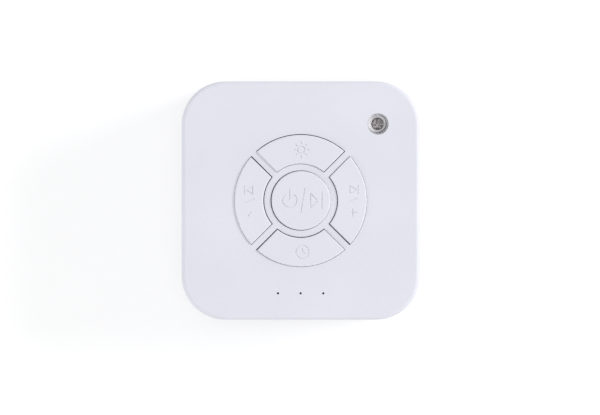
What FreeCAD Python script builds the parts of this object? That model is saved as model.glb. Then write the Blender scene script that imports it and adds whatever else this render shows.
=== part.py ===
"""White noise sound machine: a square desk unit with five push keys round its middle.

Units are millimetres. The machine stands on its feet at z = 0 with its keys facing +Z, its three indicator
holes towards -Y and its charging socket at the back, towards +Y. The case is centred on the Z axis.
"""

import FreeCAD, Part
import math
import os
import re
import Sketcher

DIMENSIONS = {
    # Case: two moulded shells that meet in a shadow gap
    "case_width": 100.0,
    "corner_radius": 18.4,
    "case_height": 44.0,
    "bottom_height": 15.0,
    "wall": 2.2,
    "face_thickness": 2.2,
    "floor_thickness": 2.2,
    "face_round": 1.8,
    "floor_round": 2.6,
    "seam_gap": 0.4,
    "tongue_height": 1.6,
    "tongue_thickness": 0.9,
    "tongue_clearance": 0.1,
    # Rubber feet, each seated over a case screw
    "foot_radius": 5.0,
    "foot_rise": 2.4,
    "foot_sink": 0.8,
    "foot_round": 0.7,
    "foot_clearance": 0.15,
    # Case screws and their bosses
    "screw_inset": 11.5,
    "screw_seat": 7.6,
    "screw_radius": 1.3,
    "screw_length": 12.0,
    "screw_head_radius": 2.5,
    "screw_head_height": 1.8,
    "screw_clearance": 0.2,
    "thread_clearance": 0.02,
    "pilot_spare": 2.0,
    "lower_boss_radius": 4.4,
    "upper_boss_radius": 3.3,
    "gusset_thickness": 1.2,
    # Key openings in the face, and the webs between them
    "centre_opening_radius": 12.62,
    "ring_inner_radius": 15.28,
    "ring_outer_radius": 27.87,
    "web_width": 2.68,
    "guide_depth": 3.0,
    "guide_wall": 1.6,
    # Key caps
    "key_gap": 0.25,
    "key_rise": 0.7,
    "key_round": 0.6,
    "key_wall": 1.2,
    "key_skin": 1.6,
    "flange_width": 0.9,
    "flange_thickness": 1.0,
    "flange_gap": 0.05,
    "stem_radius": 1.75,
    "stem_rib_thickness": 0.8,
    "stem_rib_depth": 2.4,
    "press_gap": 0.05,
    # Push switches on the board
    "switch_width": 6.0,
    "switch_height": 3.3,
    "switch_cover": 0.2,
    "plunger_radius": 1.7,
    "plunger_top": 5.0,
    "plunger_depth": 0.8,
    "plunger_clearance": 0.15,
    "plunger_travel_room": 0.5,
    # Main board, hung from the face on four posts
    "post_length": 8.2,
    "post_radius": 2.4,
    "post_inset_x": 4.5,
    "post_inset_y": 18.0,
    "board_thickness": 1.6,
    "board_margin": 11.0,
    "board_corner": 13.0,
    "front_tab_width": 30.0,
    "front_tab_reach": 4.0,
    "rear_tab_width": 16.0,
    "rear_tab_gap": 0.5,
    "board_screw_radius": 1.0,
    "board_screw_length": 6.0,
    "board_pilot_spare": 1.0,
    "board_screw_head_radius": 2.0,
    "board_screw_head_height": 1.3,
    # Indicator holes with their light wells
    "indicator_pitch": 9.5,
    "indicator_inset": 11.1,
    "indicator_radius": 0.475,
    "well_radius": 1.5,
    "well_wall": 1.2,
    "well_gap": 0.6,
    "indicator_led_length": 1.6,
    "indicator_led_width": 0.8,
    "indicator_led_height": 0.6,
    # Night light: a clear cap over a round lamp
    "light_inset_x": 17.5,
    "light_inset_y": 17.9,
    "light_hole_radius": 4.4,
    "lens_clearance": 0.08,
    "lens_sink": 0.9,
    "lens_skin": 0.8,
    "lens_bore_radius": 3.3,
    "lens_flange_radius": 5.2,
    "lens_flange_thickness": 1.0,
    "lamp_radius": 2.5,
    "lamp_height": 8.4,
    "lamp_rim_radius": 2.9,
    "lamp_rim_height": 1.0,
    "lamp_pin_width": 0.5,
    "lamp_pin_pitch": 2.54,
    "lamp_short_pin": 5.2,
    "lamp_long_pin": 6.0,
    "lamp_pin_reach": 5.6,
    # Charging socket at the back edge of the board
    "socket_width": 7.5,
    "socket_height": 2.6,
    "socket_length": 5.6,
    "socket_skin": 0.3,
    "socket_slope": 1.0,
    "socket_setback": 0.3,
    "socket_block": 1.8,
    "contact_width": 3.8,
    "contact_thickness": 0.7,
    "port_margin": 0.45,
    "port_corner": 1.2,
    # Battery: one round cell in a sleeve, lying along X between two screw bosses
    "cell_radius": 9.0,
    "cell_end_gap": 0.4,
    "sleeve_thickness": 0.2,
    "cell_side_gap": 4.8,
    "cell_lift": 1.0,
    "cradle_spacing": 40.0,
    "cradle_thickness": 1.8,
    "cradle_width": 22.0,
    "cradle_height": 9.0,
    "cradle_clearance": 0.2,
    "button_radius": 3.0,
    "crimp_width": 1.0,
    "crimp_depth": 0.8,
    "crimp_setback": 3.0,
    "pad_length": 10.0,
    "pad_width": 8.0,
    "pad_spacing": 18.0,
    "cell_board_thickness": 1.0,
    "cell_board_width": 14.0,
    "cell_board_height": 5.0,
    "strap_thickness": 0.2,
    "strap_width": 5.0,
    # Speaker, facing the floor
    "speaker_radius": 20.0,
    "speaker_clearance": 0.2,
    "seat_height": 1.5,
    "seat_inner_radius": 17.0,
    "seat_rim": 1.2,
    "gasket_thickness": 0.5,
    "gasket_width": 1.4,
    "basket_sheet": 0.8,
    "basket_throat_radius": 17.4,
    "ledge_radius": 13.4,
    "ledge_drop": 6.0,
    "hub_radius": 12.0,
    "hub_drop": 9.0,
    "basket_windows": 6,
    "window_width": 6.0,
    "window_height": 3.6,
    "plate_radius": 11.6,
    "plate_thickness": 3.0,
    "magnet_radius": 12.6,
    "magnet_bore_radius": 6.6,
    "magnet_thickness": 5.0,
    "yoke_bevel": 1.0,
    "pole_radius": 4.6,
    "coil_gap": 0.4,
    "former_thickness": 0.2,
    "winding_thickness": 0.25,
    "winding_length": 2.6,
    "cone_rim_radius": 14.0,
    "cone_thickness": 0.4,
    "cone_depth": 3.6,
    "surround_thickness": 0.4,
    "surround_land": 1.4,
    "roll_height": 0.8,
    "spider_thickness": 0.3,
    "spider_wave": 0.5,
    "spider_waves": 6,
    "cap_radius": 6.4,
    "cap_height": 1.6,
    "cloth_thickness": 0.3,
    "speaker_screw_circle": 22.3,
    "speaker_post_radius": 2.3,
    "speaker_screw_radius": 1.1,
    "speaker_screw_length": 3.6,
    "speaker_pilot_spare": 0.4,
    "speaker_screw_head_radius": 3.3,
    "speaker_screw_head_height": 1.2,
    "terminal_length": 8.0,
    "terminal_width": 4.0,
    "terminal_thickness": 1.0,
    # Sound holes in the floor
    "hole_radius": 1.1,
    "hole_pitch": 4.2,
    # Lead headers on the underside of the board, and the plugs in them
    "header_length": 6.0,
    "header_width": 4.6,
    "header_height": 5.2,
    "header_wall": 0.6,
    "header_floor": 0.8,
    "plug_clearance": 0.1,
    "plug_proud": 1.4,
    "lead_pitch": 2.0,
    "lead_radius": 0.5,
    "lead_drop": 4.0,
    "battery_lead_bow": 2.0,
    "battery_lead_detour": 11.0,
    "battery_tag_offset": 3.0,
    "speaker_lead_bow": 6.0,
    "speaker_lead_rise": 4.5,
    "speaker_lead_side": 3.5,
    "battery_header_inset": 11.0,
    "battery_header_y": 16.0,
    "speaker_header_inset": 12.0,
    "speaker_header_y": -12.0,
    # Chips and capacitors on the underside of the board
    "sound_chip_length": 10.0,
    "sound_chip_width": 6.0,
    "small_chip_length": 5.0,
    "small_chip_width": 4.0,
    "chip_height": 1.6,
    "chip_row_y": -24.0,
    "chip_pitch": 13.0,
    "capacitor_radius": 3.15,
    "capacitor_height": 6.0,
    "capacitor_inset": 9.0,
    "capacitor_y": 0.0,
    "capacitor_pitch": 8.0,
    "passive_length": 1.6,
    "passive_width": 0.8,
    "passive_height": 0.6,
    "passive_pitch": 3.2,
    "passive_row_gap": 3.0,
    "passive_count": 6,
}

doc = FreeCAD.newDocument("SoundMachine")
sheet = doc.addObject("Spreadsheet::Sheet", "dims")
for row, (alias, size) in enumerate(DIMENSIONS.items(), start=1):
    sheet.set(f"A{row}", str(size))
    sheet.setAlias(f"A{row}", alias)
doc.recompute()

NAME = re.compile(r"\b(" + "|".join(DIMENSIONS) + r")\b")
ORIGIN = FreeCAD.Vector(0, 0, 0)
UP = FreeCAD.Vector(0, 0, 1)
LEVEL_TOLERANCE = 1e-4
DOME_STEPS = 5
BEND_SHARE = 0.45
subparts = []

# Heights above the table, as formulas of the sheet's sizes
CASE_TOP = "(foot_rise + case_height)"
FACE_UNDER = "(foot_rise + case_height - face_thickness)"
FLOOR_TOP = "(foot_rise + floor_thickness)"
PARTING = "(foot_rise + bottom_height)"
GUIDE_END = f"({FACE_UNDER} - guide_depth)"
KEY_TOP = f"({CASE_TOP} + key_rise)"
FLANGE_TOP = f"({GUIDE_END} - flange_gap)"
BOARD_TOP = f"({FACE_UNDER} - post_length)"
BOARD_UNDER = f"({BOARD_TOP} - board_thickness)"
SCREW_SEAT = "(foot_rise + screw_seat)"
SPEAKER_FRONT = f"({FLOOR_TOP} + seat_height)"
CELL_AXIS = f"({FLOOR_TOP} + cell_lift + cell_radius + sleeve_thickness)"
PLUG_END = f"({BOARD_UNDER} - header_height - plug_proud)"

# Places seen from above
HALF = "(case_width / 2)"
SCREW_AT = f"({HALF} - screw_inset)"
POST_X = f"({HALF} - board_margin - post_inset_x)"
POST_Y = f"({HALF} - board_margin - post_inset_y)"
LIGHT_X = f"({HALF} - light_inset_x)"
LIGHT_Y = f"({HALF} - light_inset_y)"
INDICATOR_Y = f"(indicator_inset - {HALF})"
CELL_Y = f"({HALF} - wall - cell_side_gap - cell_radius - sleeve_thickness)"
CELL_HALF = f"({SCREW_AT} - lower_boss_radius - cell_end_gap - cell_board_thickness - strap_thickness)"
BATTERY_HEADER_X = f"({HALF} - board_margin - battery_header_inset)"
SPEAKER_HEADER_X = f"(board_margin + speaker_header_inset - {HALF})"
CAPACITOR_X = f"(board_margin + capacitor_inset - {HALF})"
RING_SWITCH = "((ring_inner_radius + ring_outer_radius) / 2)"
CORNERS = ((1, 1), (-1, 1), (-1, -1), (1, -1))
SPEAKER_SCREW_ANGLES = (30, 150, 270)

# Heights inside the speaker, from the front of its gasket
FLANGE_FRONT = "gasket_thickness"
FLANGE_BACK = f"({FLANGE_FRONT} + basket_sheet)"
LEDGE = f"({FLANGE_FRONT} + ledge_drop)"
HUB = f"({FLANGE_FRONT} + hub_drop)"
PLATE_FRONT = f"({HUB} + basket_sheet)"
MAGNET_FRONT = f"({PLATE_FRONT} + plate_thickness)"
YOKE_FRONT = f"({MAGNET_FRONT} + magnet_thickness)"
FORMER_RADIUS = "(pole_radius + coil_gap)"
WINDING_RADIUS = f"({FORMER_RADIUS} + former_thickness)"
PLATE_BORE = f"({WINDING_RADIUS} + winding_thickness + coil_gap)"
CONE_RIM = f"({FLANGE_FRONT} + basket_sheet)"
CONE_NECK = f"({CONE_RIM} + cone_depth)"


def formula(text):
    """The text with each size's name pointed at the sheet."""
    return NAME.sub(r"dims.\1", text)


def value(text):
    """The number that a formula gives now."""
    return float(sheet.evalExpression(formula(text)))


def bind(item, path, text):
    item.setExpression(path, formula(text))


def bind_place(item, x="0", y="0", z="0"):
    for axis, text in zip("xyz", (x, y, z)):
        if text != "0":
            bind(item, f"Placement.Base.{axis}", text)


def keep(item, label):
    """Notes a finished sub-part under the name of its file."""
    item.Label = label
    subparts.append(item)
    return item


def new_body(label, x="0", y="0", z="0"):
    body = doc.addObject("PartDesign::Body", label)
    bind_place(body, x, y, z)
    return keep(body, label)


def new_sketch(body, level="0", plane="XY_Plane"):
    """A sketch on one of the body's own origin planes, moved along that plane's normal to the level."""
    sketch = body.newObject("Sketcher::SketchObject", f"{body.Name}_sketch")
    support = [face for face in body.Origin.OriginFeatures if face.Role == plane][0]
    sketch.AttachmentSupport = (support, [""])
    sketch.MapMode = "FlatFace"
    if level != "0":
        bind(sketch, "AttachmentOffset.Base.z", level)
    return sketch


def hold(sketch, kind, *where, size):
    """A dimension in the sketch, bound to a formula."""
    number = sketch.addConstraint(Sketcher.Constraint(kind, *where, value(size)))
    bind(sketch, f"Constraints[{number}]", size)


def draw_circle(sketch, radius, x="0", y="0"):
    centre = FreeCAD.Vector(value(x), value(y), 0)
    circle = sketch.addGeometry(Part.Circle(centre, UP, value(radius)))
    hold(sketch, "Radius", circle, size=radius)
    hold(sketch, "DistanceX", circle, 3, size=x)
    hold(sketch, "DistanceY", circle, 3, size=y)


def draw_polygon(sketch, points):
    """A closed outline of straight lines with each corner held at its two formulas."""
    places = [FreeCAD.Vector(value(x), value(y), 0) for x, y in points]
    lines = [
        sketch.addGeometry(Part.LineSegment(start, end))
        for start, end in zip(places, places[1:] + places[:1])
    ]
    for line, following in zip(lines, lines[1:] + lines[:1]):
        sketch.addConstraint(Sketcher.Constraint("Coincident", line, 2, following, 1))
    for line, (x, y) in zip(lines, points):
        hold(sketch, "DistanceX", line, 1, size=x)
        hold(sketch, "DistanceY", line, 1, size=y)


def draw_rectangle(sketch, width, depth, x="0", y="0"):
    left, right = f"{x} - ({width}) / 2", f"{x} + ({width}) / 2"
    low, high = f"{y} - ({depth}) / 2", f"{y} + ({depth}) / 2"
    draw_polygon(sketch, ((left, low), (right, low), (right, high), (left, high)))


def draw_rounded_rectangle(sketch, width, depth, radius, x="0", y="0"):
    """A rectangle with four equal round corners, centred at x, y."""
    mid_x, mid_y, round_ = value(x), value(y), value(radius)
    half_x, half_y = value(width) / 2 - round_, value(depth) / 2 - round_
    arcs = []
    for index, (side_x, side_y) in enumerate(CORNERS):
        centre = FreeCAD.Vector(mid_x + side_x * half_x, mid_y + side_y * half_y, 0)
        start = index * math.pi / 2
        arc = Part.ArcOfCircle(Part.Circle(centre, UP, round_), start, start + math.pi / 2)
        arcs.append(sketch.addGeometry(arc))
    lines = []
    for arc, following in zip(arcs, arcs[1:] + arcs[:1]):
        start = sketch.getPoint(arc, 2)
        end = sketch.getPoint(following, 1)
        lines.append(sketch.addGeometry(Part.LineSegment(start, end)))
    for index, line in enumerate(lines):
        following = arcs[(index + 1) % 4]
        direction = "Horizontal" if index % 2 == 0 else "Vertical"
        sketch.addConstraint(Sketcher.Constraint("Tangent", arcs[index], 2, line, 1))
        sketch.addConstraint(Sketcher.Constraint("Tangent", line, 2, following, 1))
        sketch.addConstraint(Sketcher.Constraint(direction, line))
    for arc in arcs[1:]:
        sketch.addConstraint(Sketcher.Constraint("Equal", arcs[0], arc))
    hold(sketch, "Radius", arcs[0], size=radius)
    hold(sketch, "DistanceX", arcs[0], 1, size=f"{x} + ({width}) / 2")
    hold(sketch, "DistanceX", arcs[2], 1, size=f"{x} - ({width}) / 2")
    hold(sketch, "DistanceY", arcs[0], 2, size=f"{y} + ({depth}) / 2")
    hold(sketch, "DistanceY", arcs[2], 2, size=f"{y} - ({depth}) / 2")


def draw_segment(sketch, inset="0"):
    """One quarter of the key ring, towards +Y: two arcs about the middle and two sides that run along the
    diagonals at half a web from them. The inset moves every edge inwards."""
    inner, outer = f"ring_inner_radius + {inset}", f"ring_outer_radius - ({inset})"
    side = f"web_width / 2 + {inset}"

    def corner(radius):
        off = value(side)
        along = math.sqrt(value(radius) ** 2 - off**2)
        return FreeCAD.Vector((along - off) / math.sqrt(2), (along + off) / math.sqrt(2), 0)

    near, far = corner(inner), corner(outer)
    near_left, far_left = (FreeCAD.Vector(-p.x, p.y, 0) for p in (near, far))
    arcs = []
    for radius, right, left in ((inner, near, near_left), (outer, far, far_left)):
        circle = Part.Circle(ORIGIN, UP, value(radius))
        turn = math.atan2(right.y, right.x), math.atan2(left.y, left.x)
        arcs.append(sketch.addGeometry(Part.ArcOfCircle(circle, *turn)))
    right_side = sketch.addGeometry(Part.LineSegment(near, far))
    left_side = sketch.addGeometry(Part.LineSegment(near_left, far_left))
    for arc, end, radius in ((arcs[0], 1, inner), (arcs[1], 2, outer)):
        sketch.addConstraint(Sketcher.Constraint("Coincident", arc, 3, -1, 1))
        sketch.addConstraint(Sketcher.Constraint("Coincident", right_side, end, arc, 1))
        sketch.addConstraint(Sketcher.Constraint("Coincident", left_side, end, arc, 2))
        sketch.addConstraint(Sketcher.Constraint("Symmetric", arc, 1, arc, 2, -2))
        hold(sketch, "Radius", arc, size=radius)
    sketch.addConstraint(Sketcher.Constraint("Angle", right_side, math.pi / 4))
    hold(sketch, "Distance", -1, 1, right_side, size=side)


def pad(body, sketch, length, down=False):
    feature = body.newObject("PartDesign::Pad", f"{body.Name}_pad")
    feature.Profile = sketch
    feature.Reversed = down
    bind(feature, "Length", length)
    return feature


def pocket(body, sketch, length, down=False):
    """Cuts the sketch's outline upwards from its plane, or downwards."""
    feature = body.newObject("PartDesign::Pocket", f"{body.Name}_pocket")
    feature.Profile = sketch
    feature.Reversed = not down
    bind(feature, "Length", length)
    return feature


def revolve(body, points, about="V_Axis"):
    """Turns an outline, given as radius and height, once round the body's own axis."""
    sketch = new_sketch(body, plane="XZ_Plane")
    draw_polygon(sketch, points)
    feature = body.newObject("PartDesign::Revolution", f"{body.Name}_turned")
    feature.Profile = sketch
    feature.ReferenceAxis = (sketch, [about])
    feature.Angle = 360
    return feature


def round_edges(body, feature, radius, chosen):
    """Fillets the feature's edges for which chosen(edge) holds."""
    doc.recompute()
    names = [f"Edge{n}" for n, edge in enumerate(feature.Shape.Edges, start=1) if chosen(edge)]
    fillet = body.newObject("PartDesign::Fillet", f"{body.Name}_round")
    fillet.Base = (feature, names)
    bind(fillet, "Radius", radius)
    return fillet


def lies_at(height):
    level = value(height)

    def chosen(edge):
        box = edge.BoundBox
        return max(abs(box.ZMin - level), abs(box.ZMax - level)) < LEVEL_TOLERANCE

    return chosen


def pad_circles(body, radius, centres, level, length, down=False):
    sketch = new_sketch(body, level)
    for x, y in centres:
        draw_circle(sketch, radius, x, y)
    return pad(body, sketch, length, down)


def cut_circles(body, radius, centres, level, length, down=False):
    sketch = new_sketch(body, level)
    for x, y in centres:
        draw_circle(sketch, radius, x, y)
    return pocket(body, sketch, length, down)


def pad_rectangle(body, width, depth, level, length, x="0", y="0", down=False):
    sketch = new_sketch(body, level)
    draw_rectangle(sketch, width, depth, x, y)
    return pad(body, sketch, length, down)


def polar_pattern(body, feature, sketch, count):
    pattern = body.newObject("PartDesign::PolarPattern", f"{body.Name}_pattern")
    pattern.Originals = [feature]
    pattern.Axis = (sketch, ["N_Axis"])
    pattern.Angle = 360
    bind(pattern, "Occurrences", count)
    body.Tip = pattern
    return pattern


def at_corners(x, y):
    return [(f"{sx} * {x}", f"{sy} * {y}") for sx, sy in CORNERS]


def on_circle(radius, angles):
    return [(f"{radius} * cos({a})", f"{radius} * sin({a})") for a in angles]


SCREWS = at_corners(SCREW_AT, SCREW_AT)
POSTS = at_corners(POST_X, POST_Y)
INDICATORS = [(f"{n} * indicator_pitch", INDICATOR_Y) for n in (-1, 0, 1)]
SPEAKER_SCREWS = on_circle("speaker_screw_circle", SPEAKER_SCREW_ANGLES)
SWITCHES = [("0", "0")] + on_circle(RING_SWITCH, (90, 180, 0, 270))


def make_top_case():
    """Upper shell: the face with its openings, the walls, and all that hangs from the face inside."""
    body = new_body("top_case")
    outline = new_sketch(body, PARTING)
    draw_rounded_rectangle(outline, "case_width", "case_width", "corner_radius")
    shell = pad(body, outline, "case_height - bottom_height")
    round_edges(body, shell, "face_round", lies_at(CASE_TOP))
    inside = new_sketch(body, PARTING)
    inner_width = "case_width - 2 * wall"
    draw_rounded_rectangle(inside, inner_width, inner_width, "corner_radius - wall")
    pocket(body, inside, "case_height - bottom_height - face_thickness")
    rebate = new_sketch(body, PARTING)
    rebate_width = "case_width - 2 * (wall - tongue_thickness - tongue_clearance)"
    rebate_corner = "corner_radius - wall + tongue_thickness + tongue_clearance"
    draw_rounded_rectangle(rebate, rebate_width, rebate_width, rebate_corner)
    pocket(body, rebate, "tongue_height")
    pad_circles(body, "ring_outer_radius + guide_wall", [("0", "0")], FACE_UNDER, "guide_depth", down=True)
    pad_circles(body, "upper_boss_radius", SCREWS, FACE_UNDER, f"{FACE_UNDER} - {PARTING}", down=True)
    pad_circles(body, "post_radius", POSTS, FACE_UNDER, "post_length", down=True)
    add_gussets(body)
    add_light_wells(body)
    cut_key_openings(body)
    cut_circles(body, "light_hole_radius", [(LIGHT_X, LIGHT_Y)], FACE_UNDER, "2 * face_thickness")
    pilot_top = f"{SCREW_SEAT} + screw_length + pilot_spare"
    cut_circles(body, "screw_radius + thread_clearance", SCREWS, PARTING, f"{pilot_top} - {PARTING}")
    pilot = "board_screw_length - board_thickness + board_pilot_spare"
    cut_circles(body, "board_screw_radius + thread_clearance", POSTS, BOARD_TOP, pilot)
    port = new_sketch(body, f"-{HALF} + 3 * wall", "XZ_Plane")
    draw_rounded_rectangle(port, "socket_width + 2 * port_margin", "socket_height + 2 * port_margin",
                           "port_corner", y=f"{BOARD_TOP} + socket_height / 2")
    pocket(body, port, "4 * wall", down=True)


def add_gussets(body):
    """Two ribs tie each screw boss to the walls beside it, and end in the middle of the wall's thickness."""
    bend = f"({HALF} - corner_radius)"
    wall_middle = f"sqrt((corner_radius - wall / 2) ^ 2 - ({SCREW_AT} - {bend}) ^ 2)"
    reach = f"{bend} + {wall_middle} - {SCREW_AT}"
    drop = f"{FACE_UNDER} - {PARTING} - 2 * tongue_height"
    for side_x, side_y in CORNERS:
        along_x = f"{side_x} * ({SCREW_AT} + ({reach}) / 2)"
        pad_rectangle(body, reach, "gusset_thickness", FACE_UNDER, drop,
                      along_x, f"{side_y} * {SCREW_AT}", down=True)
        along_y = f"{side_y} * ({SCREW_AT} + ({reach}) / 2)"
        pad_rectangle(body, "gusset_thickness", reach, FACE_UNDER, drop,
                      f"{side_x} * {SCREW_AT}", along_y, down=True)


def add_light_wells(body):
    """A bar under the indicator holes, bored so that each lamp lights its own hole."""
    bar_width = "2 * (indicator_pitch + well_radius + well_wall)"
    bar_depth = "2 * (well_radius + well_wall)"
    pad_rectangle(body, bar_width, bar_depth, FACE_UNDER, "post_length - well_gap",
                  y=INDICATOR_Y, down=True)
    cut_circles(body, "well_radius", INDICATORS, BOARD_TOP, "post_length")
    cut_circles(body, "indicator_radius", INDICATORS, FACE_UNDER, "2 * face_thickness")


def cut_key_openings(body):
    """The round opening and the four ring quarters, through the face and the guide block under it."""
    depth = "2 * (guide_depth + face_thickness)"
    level = f"{GUIDE_END} - guide_depth"
    cut_circles(body, "centre_opening_radius", [("0", "0")], level, f"{depth} + guide_depth")
    quarter = new_sketch(body, level)
    draw_segment(quarter)
    opening = pocket(body, quarter, f"{depth} + guide_depth")
    polar_pattern(body, opening, quarter, "4")


def make_bottom_case():
    """Lower shell: the floor with its sound holes, and the seats of the speaker, battery and feet."""
    body = new_body("bottom_case")
    outline = new_sketch(body, "foot_rise")
    draw_rounded_rectangle(outline, "case_width", "case_width", "corner_radius")
    shell = pad(body, outline, "bottom_height - seam_gap")
    round_edges(body, shell, "floor_round", lies_at("foot_rise"))
    inside = new_sketch(body, FLOOR_TOP)
    inner_width = "case_width - 2 * wall"
    draw_rounded_rectangle(inside, inner_width, inner_width, "corner_radius - wall")
    pocket(body, inside, "bottom_height")
    add_tongue(body)
    pad_circles(body, "lower_boss_radius", SCREWS, "foot_rise + floor_thickness / 2",
                "bottom_height - floor_thickness / 2")
    add_speaker_seat(body)
    add_cradle(body)
    cut_circles(body, "foot_radius + foot_clearance", SCREWS, "foot_rise", "foot_sink")
    cut_circles(body, "screw_head_radius + screw_clearance", SCREWS, "foot_rise", "screw_seat")
    cut_circles(body, "screw_radius + screw_clearance", SCREWS, "foot_rise", "2 * bottom_height")
    cut_sound_holes(body)


def add_tongue(body):
    """A thin lip inside the wall that enters the upper shell's rebate."""
    tongue = new_sketch(body, f"{PARTING} - seam_gap - tongue_height")
    outer = "case_width - 2 * (wall - tongue_thickness)"
    inner = "case_width - 2 * wall"
    draw_rounded_rectangle(tongue, outer, outer, "corner_radius - wall + tongue_thickness")
    draw_rounded_rectangle(tongue, inner, inner, "corner_radius - wall")
    pad(body, tongue, "seam_gap + 2 * tongue_height")


def add_speaker_seat(body):
    """A ledge for the gasket, a rim that centres the basket, and three screw posts on the rim."""
    rim_inner = "speaker_radius + speaker_clearance"
    ledge = new_sketch(body, FLOOR_TOP)
    draw_circle(ledge, f"{rim_inner} + seat_rim")
    draw_circle(ledge, "seat_inner_radius")
    pad(body, ledge, "seat_height")
    rim_height = "gasket_thickness + basket_sheet"
    rim = new_sketch(body, SPEAKER_FRONT)
    draw_circle(rim, f"{rim_inner} + seat_rim")
    draw_circle(rim, rim_inner)
    pad(body, rim, rim_height)
    pad_circles(body, "speaker_post_radius", SPEAKER_SCREWS, FLOOR_TOP, f"seat_height + {rim_height}")
    cut_circles(body, rim_inner, [("0", "0")], SPEAKER_FRONT, "bottom_height")
    pilot = "(speaker_screw_length + speaker_pilot_spare)"
    cut_circles(body, "speaker_screw_radius + thread_clearance", SPEAKER_SCREWS,
                f"{SPEAKER_FRONT} + {rim_height} - {pilot}", f"2 * {pilot}")


def add_cradle(body):
    """Two ribs hollowed to the battery's round side."""
    for side in (-1, 1):
        pad_rectangle(body, "cradle_thickness", "cradle_width", FLOOR_TOP, "cradle_height",
                      f"{side} * cradle_spacing / 2", CELL_Y)
    half = "(cradle_spacing / 2 + cradle_thickness)"
    hollow = new_sketch(body, f"-{half}", "YZ_Plane")
    draw_circle(hollow, "cell_radius + sleeve_thickness + cradle_clearance", CELL_Y, CELL_AXIS)
    pocket(body, hollow, f"2 * {half}")


def cut_sound_holes(body):
    """One hole in the middle and three rings of holes round it."""
    level = "foot_rise - foot_rise / 2"
    depth = "2 * floor_thickness + foot_rise / 2"
    cut_circles(body, "hole_radius", [("0", "0")], level, depth)
    for ring in (1, 2, 3):
        sketch = new_sketch(body, level)
        draw_circle(sketch, "hole_radius", f"{ring} * hole_pitch")
        polar_pattern(body, pocket(body, sketch, depth), sketch, f"6 * {ring}")


def make_key(label, draw_outline, stem, rib_width, rib_depth, turn=0):
    """A key cap: skin and side wall, stop flange at the lower edge, stem and rib inside.

    draw_outline(sketch, inset) draws the opening's outline moved inwards. A ring key is drawn towards +Y
    and turned to its place.
    """
    body = new_body(label)
    body.Placement.Rotation = FreeCAD.Rotation(UP, turn)
    height = f"{KEY_TOP} - {FLANGE_TOP} + flange_thickness"
    cap = new_sketch(body, f"{FLANGE_TOP} - flange_thickness")
    draw_outline(cap, "key_gap")
    blank = pad(body, cap, height)
    round_edges(body, blank, "key_round", lies_at(KEY_TOP))
    flange = new_sketch(body, f"{FLANGE_TOP} - flange_thickness")
    draw_outline(flange, "key_gap - flange_width")
    pad(body, flange, "flange_thickness")
    hollow = new_sketch(body, f"{FLANGE_TOP} - flange_thickness")
    draw_outline(hollow, "key_gap + key_wall")
    pocket(body, hollow, f"{height} - key_skin")
    skin_under = f"({KEY_TOP} - key_skin)"
    stem_end = f"({BOARD_TOP} + plunger_top + press_gap)"
    pad_rectangle(body, rib_width, rib_depth, skin_under, "stem_rib_depth", *stem, down=True)
    pad_rectangle(body, "stem_rib_thickness", "2 * stem_radius + 2 * key_wall", skin_under,
                  "stem_rib_depth", *stem, down=True)
    pad_circles(body, "stem_radius", [stem], skin_under, f"{skin_under} - {stem_end}", down=True)
    return body


def draw_round(sketch, inset):
    draw_circle(sketch, f"centre_opening_radius - ({inset})")


def make_keys():
    across = "2 * (centre_opening_radius - key_gap - key_wall / 2)"
    make_key("key_power", draw_round, ("0", "0"), across, "stem_rib_thickness")
    ring_rib = "ring_outer_radius - ring_inner_radius"
    ring = (("key_light", 0), ("key_previous", 90), ("key_timer", 180), ("key_next", 270))
    for label, turn in ring:
        make_key(label, draw_segment, ("0", RING_SWITCH), ring_rib, "stem_rib_thickness", turn)


def make_switches():
    """Five push switches: moulded housings, their metal covers and the plungers under the key stems."""
    housings = new_body("switch_housings")
    covers = new_body("switch_covers")
    cover_under = f"{BOARD_TOP} + switch_height"
    bore = "plunger_radius + plunger_clearance"
    squares = new_sketch(housings, BOARD_TOP)
    plates = new_sketch(covers, cover_under)
    for x, y in SWITCHES:
        draw_rectangle(squares, "switch_width", "switch_width", x, y)
        draw_rectangle(plates, "switch_width", "switch_width", x, y)
    pad(housings, squares, "switch_height")
    pad(covers, plates, "switch_cover")
    bore_depth = "plunger_depth + plunger_travel_room"
    cut_circles(housings, bore, SWITCHES, cover_under, bore_depth, down=True)
    cut_circles(covers, bore, SWITCHES, cover_under, "2 * switch_cover")
    names = ("plunger_power", "plunger_light", "plunger_previous", "plunger_next", "plunger_timer")
    for label, place in zip(names, SWITCHES):
        plunger = new_body(label, *place, BOARD_TOP)
        start = "switch_height - plunger_depth"
        pad_circles(plunger, "plunger_radius", [("0", "0")], start, f"plunger_top - ({start})")


def make_main_board():
    """The board under the keys, with a tab to the indicator holes and one to the charging socket."""
    body = new_body("main_board")
    width = "case_width - 2 * board_margin"
    outline = new_sketch(body, BOARD_UNDER)
    draw_rounded_rectangle(outline, width, width, "board_corner")
    pad(body, outline, "board_thickness")
    pad_rectangle(body, "front_tab_width", "2 * front_tab_reach", BOARD_UNDER, "board_thickness",
                  y=f"-{HALF} + board_margin")
    rear_edge = f"({HALF} - wall - rear_tab_gap)"
    rear_reach = f"({rear_edge} - {HALF} + 2 * board_margin)"
    pad_rectangle(body, "rear_tab_width", rear_reach, BOARD_UNDER, "board_thickness",
                  y=f"{rear_edge} - {rear_reach} / 2")
    cut_circles(body, "board_screw_radius + screw_clearance", POSTS, BOARD_UNDER, "board_thickness")
    pins = [(f"{LIGHT_X} + {side} * lamp_pin_pitch / 2", LIGHT_Y) for side in (-1, 1)]
    cut_circles(body, "lamp_pin_width", pins, BOARD_UNDER, "board_thickness")


def make_indicator_lamps():
    body = new_body("indicator_lamps")
    sketch = new_sketch(body, BOARD_TOP)
    for x, y in INDICATORS:
        draw_rectangle(sketch, "indicator_led_length", "indicator_led_width", x, y)
    pad(body, sketch, "indicator_led_height")


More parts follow.
